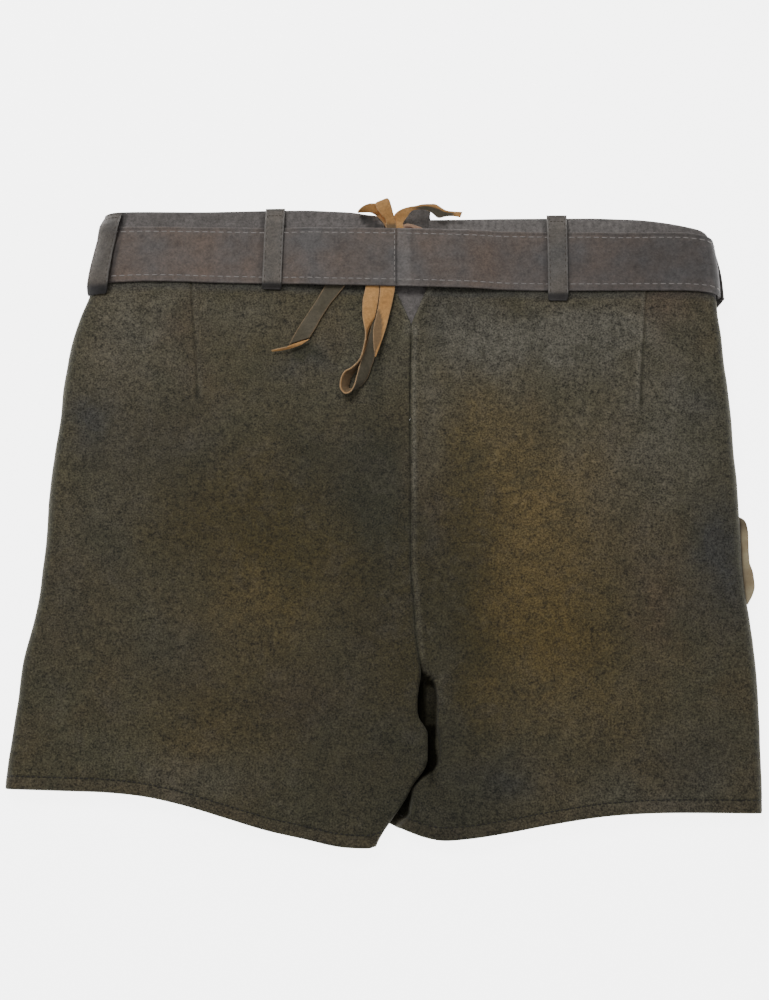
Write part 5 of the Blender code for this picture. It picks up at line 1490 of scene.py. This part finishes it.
def add_loops(leather, thread):
    rows = []
    for name, spec in LOOPS.items():
        back, face = loop_layer(spec, 0.0), loop_layer(spec, LOOP_THICK)
        out = (face - back) / np.linalg.norm(face - back, axis=2, keepdims=True)
        from_edge = spec["wide"] * np.minimum(LOOP_ACROSS, 1 - LOOP_ACROSS)[None, :]
        relief = -0.16 * bell(from_edge - 1.9, 0.7) - 0.2 * bell(from_edge, 0.8) - 0.03
        edge = np.clip(0.8 * bell(from_edge, 1.3) + 0 * face[..., 0], 0, 1)
        # Painted shade: on the loop's foot, where it turns under the belt, on its sideways faces, and on the
        # loops at the side folds.
        painted_loop_shade = 0.85 * ease((loop_limits(spec, 0)[0] - spec["lit"] - face[..., 1] + 1.0) / spec["soft"])
        painted_loop_shade = np.clip(painted_loop_shade + 0.4 * sideways_shade(out) + 0.24 * (spec["where"] == "fold"), 0, 1)
        if name == "loop_side_right":
            painted_loop_shade = painted_loop_shade * (0.3 + 0.7 * ease((140 - face[..., 1]) / 2))
        face = face + out * relief[..., None]
        marks = {"edge": (edge, edge * 0), "deep": painted_loop_shade}
        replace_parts(shell("strap_" + name, face, back, leather, edge=0.35, marks=marks), name)
        for line in (np.s_[6:-1, 2], np.s_[6:-1, -3]):
            rows.append(stitch_row(face[line], out[line], *LOOP_EDGE_STITCH))
        rows.append(stitch_row(face[-5, 2:-2], out[-5, 2:-2], *LOOP_BAR_STITCH))
    stitches("loop_stitches", rows, thread)


# ------------------------------------------------ gusset, flap, pocket

GUSSET = table("y left right", [
    (126, 12, 26), (139, 4, 34), (165, -6, 45), (188, -12, 54), (200, -8, 50), (207, 2, 40), (213, 8, 35.5),
    (217, 12, 33.3), (221, 15.5, 33), (225, 18.5, 33.4), (226.6, 21.5, 33.2), (227.2, 24, 31.5),
])
GUSSET_WALL = 1.4
GUSSET_CLEAR = 1.3
GUSSET_COLUMNS = 26
BELT_FOOT_Y = 168.0


def add_gusset(suede):
    """The dark piece behind the notch, whose tab stands above the waistband."""
    steps = np.arange(0, len(GUSSET["y"]) - 0.75, 0.25)
    rows = []
    for at in steps:
        first = min(int(at), len(GUSSET["y"]) - 2)
        part = at - first
        y, left, right = (column[first] * (1 - part) + column[first + 1] * part for column in GUSSET.values())
        x = np.linspace(left, right, GUSSET_COLUMNS)
        rows.append(np.stack([x, x * 0 + y, back_z(1, x, y) - SUEDE - GUSSET_CLEAR], axis=1))
    grid = np.array(rows)
    y = grid[..., 1]
    relief = 0.2 * cloud(81, 9, grid[..., 0], y) - 0.2
    face = grid + np.stack([0 * relief, 0 * relief, relief], axis=2)
    # Painted shade where the gusset lies under the belt, and painted light just below the belt against its
    # shadow.
    marks = {"deep": 0.26 * ease((y - BELT_FOOT_Y) / 20), "tone_and_painted_shading": 0.14 * ease((BELT_FOOT_Y + 2 - y) / 6)}
    made = shell("back_gusset", face, grid - np.array([0, 0, GUSSET_WALL]), suede, edge=0.3, marks=marks)
    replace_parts(made, "gusset")
    return made, grid


FLAP_CLEAR = 0.4


def flap_point(x, share):
    """A point of the drop front, which goes on from the panels beside it."""
    y = np.where(x > SEAM_X, body_y(1, x, share), body_y(-1, x, share))
    return np.stack([x, y, front_z(1, x, y)], axis=-1)


def add_flap(suede, thread):
    """The drop front, which buttons up under the waistband."""
    low = FLAP_SHARE + FLAP_CLEAR / LEG_LONG
    half = FLAP_WIDE / 2 - SEAM
    x = np.linspace(SEAM_X - half, SEAM_X + half, 71)
    grid = np.array([flap_point(x, share) for share in np.linspace(low, 1, 42)])
    facing = normals(grid, (0, 0, -1))
    y = grid[..., 1]
    edge = np.minimum.reduce([x - x[0] + 0 * y, x[-1] - x + 0 * y, y - y[:1]])
    relief = 0.25 + 0.25 * cloud(91, 30, grid[..., 0], y) + 0.2 * bell(edge - 3.0, 0.8)
    face = grid - facing * (relief * ease(edge / 4))[..., None]
    marks = patch_marks(grid[..., 0], y, under=True)
    made = shell("drop_front", face, grid - facing * SUEDE, suede, marks=marks, edge=0.3)
    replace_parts(made, "front_flap")
    rows = []
    for line in (np.s_[2:, 3], np.s_[2:, -4], np.s_[2, 3:-3]):
        rows.append(stitch_row(face[line], facing[line], 0.1, HEM_PITCH, HEM_DASH, 0.36))
    stitches("flap_stitches", rows, thread)
    return made, grid


LIP = table("y out", [
    (-61, 0.4), (-54, 4.8), (-47, 7.0), (-38, 6.8), (-30, 4.9), (-15, 5.6), (-8, 5.4), (-3.5, 4.6), (-1, 3.2),
    (0.6, 0.6),
])
LIP_WALL = 1.6
LIP_ROOT = 2.0
LIP_ROWS, LIP_COLUMNS = 62, 9


def add_lip(leather):
    """The edge of the knife pocket, standing out from the side seam."""
    rows, deep = [], []
    part = np.linspace(0, 1, LIP_COLUMNS)
    for y in np.linspace(LIP["y"][0], LIP["y"][-1], LIP_ROWS):
        out = float(read(LIP, "out", y)) + 0.25 * float(cloud(83, 6, 0, y))
        x = float(side_x(1, y))
        z = float(back_z(1, x - FOLD, y) + front_z(1, x - FOLD, y)) / 2
        z = z - 0.6 + 1.2 * part + 0.3 * np.sin(part * 3)
        rows.append(np.stack([x - LIP_ROOT + (out + LIP_ROOT) * part, y + 0 * part, z], axis=1))
        deep.append(np.clip(0.6 * ease((y + 14) / 10) + 0.85 * bell(part, 0.36), 0, 1))
    grid = np.array(rows)
    half = np.array([0, 0, LIP_WALL / 2])
    marks = {"deep": np.array(deep)}
    made = shell("knife_pocket_edge", grid + half, grid - half, leather, edge=0.35, marks=marks)
    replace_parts(made, "pocket_lip")


# ------------------------------------------------------------- laces

# Heights marked "over" are above the back's outer face, and the others are above the ground.
LACES = {
    "lace_end_left": ("over", table("ax ay az bx by bz", [
        (-29, 188, 0.9, -15, 188, 0.9), (-38.3, 174.9, 0.9, -23.2, 174.9, 0.9),
        (-43.3, 165.5, 0.9, -28.6, 166.2, 0.9), (-48.7, 155.6, 0.9, -33.9, 159.1, 0.9),
        (-55.0, 145.6, 0.9, -38.4, 153.4, 0.9), (-59.4, 138.8, 0.9, -44.5, 143.5, 0.9),
        (-62.8, 132.9, 0.9, -48.5, 136.0, 0.9), (-65.6, 127.6, 1.0, -51.5, 130.9, 0.9),
        (-67.7, 123.0, 1.4, -53.1, 128.2, 1.0),
    ])),
    "lace_end_curl": ("over", table("ax ay az bx by bz", [
        (-67.8, 121.6, 2.2, -53.0, 127.0, 1.6), (-68.5, 120.8, 3.2, -54.4, 125.8, 1.9),
        (-70.4, 120.3, 3.5, -58.8, 122.9, 1.9), (-73.9, 119.8, 3.3, -65.5, 120.4, 1.9),
        (-77.5, 119.2, 2.9, -72.9, 118.8, 1.7), (-80.3, 118.6, 2.5, -79.8, 118.0, 1.7),
    ])),
    "lace_loop_low": ("over", table("ax ay az bx by bz", [
        (-13.6, 184, 2.4, -3.6, 184, 2.4), (-13.6, 166.8, 2.4, -3.6, 166.8, 2.4),
        (-15.5, 155.7, 2.5, -3.8, 160.1, 2.3), (-15.8, 145.5, 3.4, -5.0, 151.6, 2.2),
        (-14.8, 137.1, 5.4, -6.9, 143.2, 1.7), (-13.6, 130.5, 8.0, -10.6, 136.3, 1.0),
        (-13.5, 126.2, 8.8, -12.4, 129.6, 0.9), (-14.8, 118.4, 9.2, -14.0, 121.1, 0.9),
        (-16.5, 112.2, 9.0, -15.5, 114.4, 0.9), (-18.7, 108.5, 8.6, -16.9, 110.1, 0.9),
        (-23.7, 104.1, 8.2, -19.6, 104.9, 0.9), (-28.1, 101.7, 8.0, -22.3, 101.1, 0.9),
        (-30.6, 97.3, 7.8, -24.1, 97.4, 0.9), (-31.4, 91.8, 7.8, -24.8, 94.7, 0.9),
        (-30.4, 88.0, 7.8, -25.3, 92.8, 0.9), (-27.4, 85.6, 7.8, -24.8, 91.3, 0.9),
        (-23.7, 87.3, 7.6, -22.1, 91.1, 0.9), (-21.1, 92.7, 7.2, -17.1, 92.9, 0.9),
        (-19.5, 99.8, 6.6, -12.1, 98.6, 0.9), (-17.8, 106.8, 6.0, -9.4, 106.2, 0.9),
        (-16.0, 112.7, 5.2, -7.2, 113.0, 0.9), (-13.6, 120.0, 4.0, -6.3, 120.3, 0.9),
        (-11.7, 127.5, 2.4, -5.0, 128.0, 0.9), (-9.9, 135.0, 1.2, -2.8, 135.8, 0.9),
        (-7.8, 146.5, 0.9, 0.0, 147.3, 0.9), (-6.4, 157.7, 0.9, 2.9, 157.7, 0.9),
        (-5.7, 184, 0.9, 4.3, 184, 0.9),
    ])),
    "lace_end_low": ("over", table("ax ay az bx by bz", [
        (-3.3, 188, 2.5, 7.6, 188, 2.5), (-3.3, 166.8, 2.5, 7.6, 166.8, 2.5),
        (-3.6, 158.6, 2.5, 6.6, 158.6, 2.5), (-4.6, 150.7, 2.6, 5.0, 150.7, 2.6),
        (-6.2, 142.8, 2.9, 3.2, 142.8, 2.9), (-7.5, 137.0, 3.4, 1.8, 137.1, 3.2),
        (-8.2, 131.0, 4.6, 0.2, 131.4, 3.6), (-8.0, 123.6, 5.8, -2.1, 124.1, 4.2),
        (-7.4, 117.2, 6.2, -4.3, 117.6, 5.0), (-7.1, 113.0, 6.2, -6.3, 112.6, 5.6),
    ])),
    "lace_bow_left": ("ground", table("ax ay az bx by bz", [
        (1.3, 208.7, 21.7, 9.0, 208.7, 21.7), (1.1, 212.1, 22.7, 8.5, 212.1, 22.7),
        (0.5, 215.3, 24.8, 7.0, 217.1, 24.8), (-3.5, 219.0, 27.5, 5.8, 221.0, 28.0),
        (-5.9, 222.4, 29.5, 4.7, 224.3, 30.0), (-6.2, 224.9, 30.5, 3.6, 227.3, 31.3),
        (-5.9, 225.8, 29.5, 2.0, 228.7, 31.0), (-6.8, 225.7, 29.0, 0.4, 224.3, 27.5),
        (-8.6, 225.8, 29.0, -4.0, 221.3, 24.5), (-10.5, 225.7, 29.0, -8.7, 220.7, 24.0),
        (-14.0, 224.7, 28.5, -12.9, 221.6, 23.8), (-17.0, 223.1, 27.0, -16.5, 221.6, 23.4),
        (-19.3, 221.0, 24.0, -18.6, 221.3, 22.6), (-16.6, 224.3, 22.4, -15.9, 221.7, 21.2),
        (-11.9, 225.9, 22.6, -11.5, 221.9, 21.0), (-6.1, 224.5, 22.4, -6.9, 220.2, 20.9),
        (-1.8, 220.7, 22.2, -3.8, 217.1, 20.9), (2.2, 216.6, 22.0, -0.8, 213.7, 20.9),
        (4.7, 212.2, 21.6, 1.4, 209.7, 20.9),
    ])),
    "lace_end_right": ("ground", table("ax ay az bx by bz", [
        (8.1, 208.6, 21.9, 14.0, 208.6, 21.9), (6.7, 215.7, 22.5, 13.4, 212.7, 22.3),
        (7.0, 218.8, 24.5, 15.1, 215.6, 23.5), (11.0, 221.5, 27.0, 16.9, 217.8, 25.2),
        (16.8, 223.1, 28.5, 19.9, 221.1, 26.5), (21.6, 223.5, 29.5, 25.2, 221.8, 27.5),
        (27.5, 224.7, 30.0, 29.7, 221.1, 27.5), (32.6, 224.9, 30.0, 33.7, 219.4, 26.5),
        (37.0, 224.8, 29.4, 38.9, 215.8, 25.5), (43.6, 221.1, 28.0, 43.8, 217.1, 25.0),
        (48.7, 220.5, 27.0, 48.8, 217.5, 25.0), (56.0, 220.3, 26.4, 54.5, 216.5, 25.0),
    ])),
    "lace_cross": ("ground", table("ax ay az bx by bz", [
        (13.3, 213.1, 20.6, 13.3, 207.7, 20.4), (16.9, 213.4, 20.9, 17.3, 208.1, 20.4),
        (21.7, 212.3, 20.9, 20.9, 207.3, 20.4), (25.9, 210.8, 20.6, 24.1, 205.0, 20.4),
        (31.3, 208.1, 20.4, 28.4, 202.0, 20.4),
    ])),
}
LACE_FINE = 5
LACE_ACROSS = np.array([0, 0.08, 0.2, 0.35, 0.5, 0.65, 0.8, 0.92, 1])
# How far across the low end its shaded half reaches.
CREASED = table("y across", [
    (113, 0.2), (116.5, 0.4), (124, 0.83), (131, 0.8), (137, 0.67), (143.6, 0.42), (148, 0.15), (150, -0.1),
])


def lace_marks(name, grid):
    """The dyed side of a lace, its tints and cut edges, and painted shade in its creases, curls and shadowed
    parts, as marks for its face and its back.
    """
    row = (np.arange(grid.shape[0]) / LACE_FINE)[:, None]
    across = LACE_ACROSS[None, :]
    none = np.zeros(grid.shape[:2])
    dyed = none + (name == "lace_end_left")
    marks = {"dark": (dyed, 1 - dyed), "cut": none + 0.6 * bell(np.minimum(across, 1 - across), 0.05)}
    if name == "lace_end_left":
        marks["cut"] = marks["cut"] * 0.6
    if name == "lace_end_right":
        folded_over = ease((row - 4.2) / 1.2) * ease((10.6 - row) / 0.8)
        marks["dark"] = (folded_over * ease((across - 0.2) / 0.12), none + 1)
    # Painted shade on the creased half of the low end.
    if name == "lace_end_low":
        marks["tone_and_painted_shading"] = (none + ease((read(CREASED, "across", grid[..., 1]) - across) / 0.1 + 0.5), none)
    # Painted shade inside the low loop.
    if name == "lace_loop_low":
        inside = plateau(row, 8.5, 17, 1.2) * ease((across - 0.02) / 0.12)
        marks["tone_and_painted_shading"] = (0.6 * inside, none)
        marks["dark"] = (0.65 * inside, none + 1)
    # Painted shadow on the bow's first rows, and painted shade inside its curve and on its return.
    if name == "lace_bow_left":
        marks["dark"] = none + 0.8 * ease((1.6 - row) / 0.8)
        marks["tone_and_painted_shading"] = none + 0.25 * plateau(row, 5.4, 6.4, 0.6) + 0.55 * ease((row - 12) / 0.8)
    if name == "lace_cross":
        marks["pink"] = none + 0.8
        marks["painted_slit_shade"] = (none + bell(across - 0.52, 0.11) * plateau(row, 0.6, 1.6, 0.4), none)
    return marks


def lace_edges(kind, rows):
    """The two edges of a lace, smooth through its table's rows."""
    count = len(rows["ax"])
    at = np.linspace(0, count - 1, (count - 1) * LACE_FINE + 1)
    knots = np.arange(count, dtype=float)
    edges = []
    for edge in "ab":
        points = np.stack([smooth(knots, rows[edge + axis], at) for axis in "xyz"], axis=1)
        if kind == "over":
            points[:, 2] += back_z(-1, points[:, 0], points[:, 1])
        edges.append(points)
    return edges


def add_laces(leather):
    made = {}
    for name, (kind, rows) in LACES.items():
        first, second = lace_edges(kind, rows)
        grid = first[:, None] * (1 - LACE_ACROSS)[:, None] + second[:, None] * LACE_ACROSS[:, None]
        facing = normals(grid, (0, 0, 1))
        wave = 0.10 * cloud(95, 5, grid[..., 0] + grid[..., 2], grid[..., 1])
        thick = LACE_THICK / 2 - 0.1 * bell(np.minimum(LACE_ACROSS, 1 - LACE_ACROSS), 0.08)
        face = grid + facing * (thick - np.abs(wave))[..., None]
        back = grid - facing * thick[:, None]
        piece = shell(name + "_thong", face, back, leather, edge=0.25, marks=lace_marks(name, grid))
        if name in frame["nodes"]:
            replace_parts(piece, name)
        made[name] = (piece, (first + second) / 2)
    return made


KNOT_PLACE = (2.4, 196.5, WAIST_TOP + 1.68)
KNOT_HALF = (7.3, 5.8, 1.2)


def add_knot(leather):
    """The flattened knot between the waistband and the belt."""
    place = tuple(value * MM for value in KNOT_PLACE)
    bpy.ops.mesh.primitive_uv_sphere_add(segments=28, ring_count=14, radius=MM, location=place)
    knot = bpy.context.object
    knot.name = "lace_knot_thong"
    bpy.ops.object.mode_set(mode="EDIT")
    bpy.ops.transform.resize(value=KNOT_HALF, center_override=place)
    bpy.ops.object.mode_set(mode="OBJECT")
    bpy.ops.object.transform_apply(location=True, rotation=True, scale=True)
    bpy.ops.object.shade_smooth()
    knot.data.materials.append(leather)
    for mark in ("dark", "cut"):
        knot.data.attributes.new(mark, "FLOAT", "POINT")
    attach(knot, "root")
    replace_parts(knot, "lace_knot")
    return knot


# ------------------------------------------------------------ fittings and assembly


# Each free lace: its width, where it ends and the short pieces on it.
FREE_LACES = {
    "lace_end_left": (11.0, "bare", ("lace_end_curl",)),
    "lace_loop_low": (10.5, "object", ()),
    "lace_end_low": (10.5, "bare", ()),
    "lace_bow_left": (8.0, "object", ()),
    "lace_end_right": (7.0, "bare", ("lace_cross",)),
}


def declare_laces(laces, knot):
    for name, (wide, far_end, others) in FREE_LACES.items():
        piece, path = laces[name]
        on_it = [laces[other][0] for other in others] + ([knot] if name == "lace_bow_left" else [])
        path[0] * MM
        path * MM


def name_slots():
    """Goes through the new pieces that have materials, and changes nothing."""
    for piece in bpy.context.scene.objects:
        if piece.type != "MESH" or not piece.data.materials or piece.name in frame["nodes"]:
            continue


def finish_fittings(materials):
    """The buckle, keeper and buttons keep their own shapes and get their finishes."""
    for node, material in materials.items():
        for place in frame["nodes"][node].material_slots:
            place.material = material


BELT_BROWNS = ((0.128, 0.093, 0.073), (0.098, 0.090, 0.087), (0.175, 0.160, 0.152))
LOOP_BROWNS = ((0.122, 0.104, 0.086), (0.102, 0.095, 0.088), (0.160, 0.150, 0.140))


def main():
    add_camera()
    thong = lace_finish()
    laces = add_laces(thong)
    knot = add_knot(thong)
    suede, band = suede_finish(), band_finish()
    dark_thread = thread_finish("dark_thread", (0.018, 0.015, 0.012))
    grey_thread = thread_finish("grey_thread", (0.27, 0.25, 0.235))
    brown_thread = thread_finish("brown_thread", (0.060, 0.045, 0.034))
    belt_leather = belt_finish("strap_leather", *BELT_BROWNS)
    panels = add_panels(suede, dark_thread)
    flap = add_flap(suede, dark_thread)
    bands = add_waistband(band)
    add_belt(belt_leather, grey_thread)
    add_loops(belt_finish("loop_leather", *LOOP_BROWNS), brown_thread)
    gusset = add_gusset(band)
    add_lip(lip_finish())
    brass, horn = brass_finish(), horn_finish()
    finish_fittings({"buckle_frame": brass, "buckle_prong": brass, "belt_keeper": belt_leather,
                     "button_left": horn, "button_right": horn})
    declare_laces(laces, knot)
    hems = bpy.data.objects["hem_stitches"]
    for name, (piece, grid) in panels.items():
        [hems] if name == "back_panel_left" else []
    add_floor()
    name_slots()
    add_lights()


main()
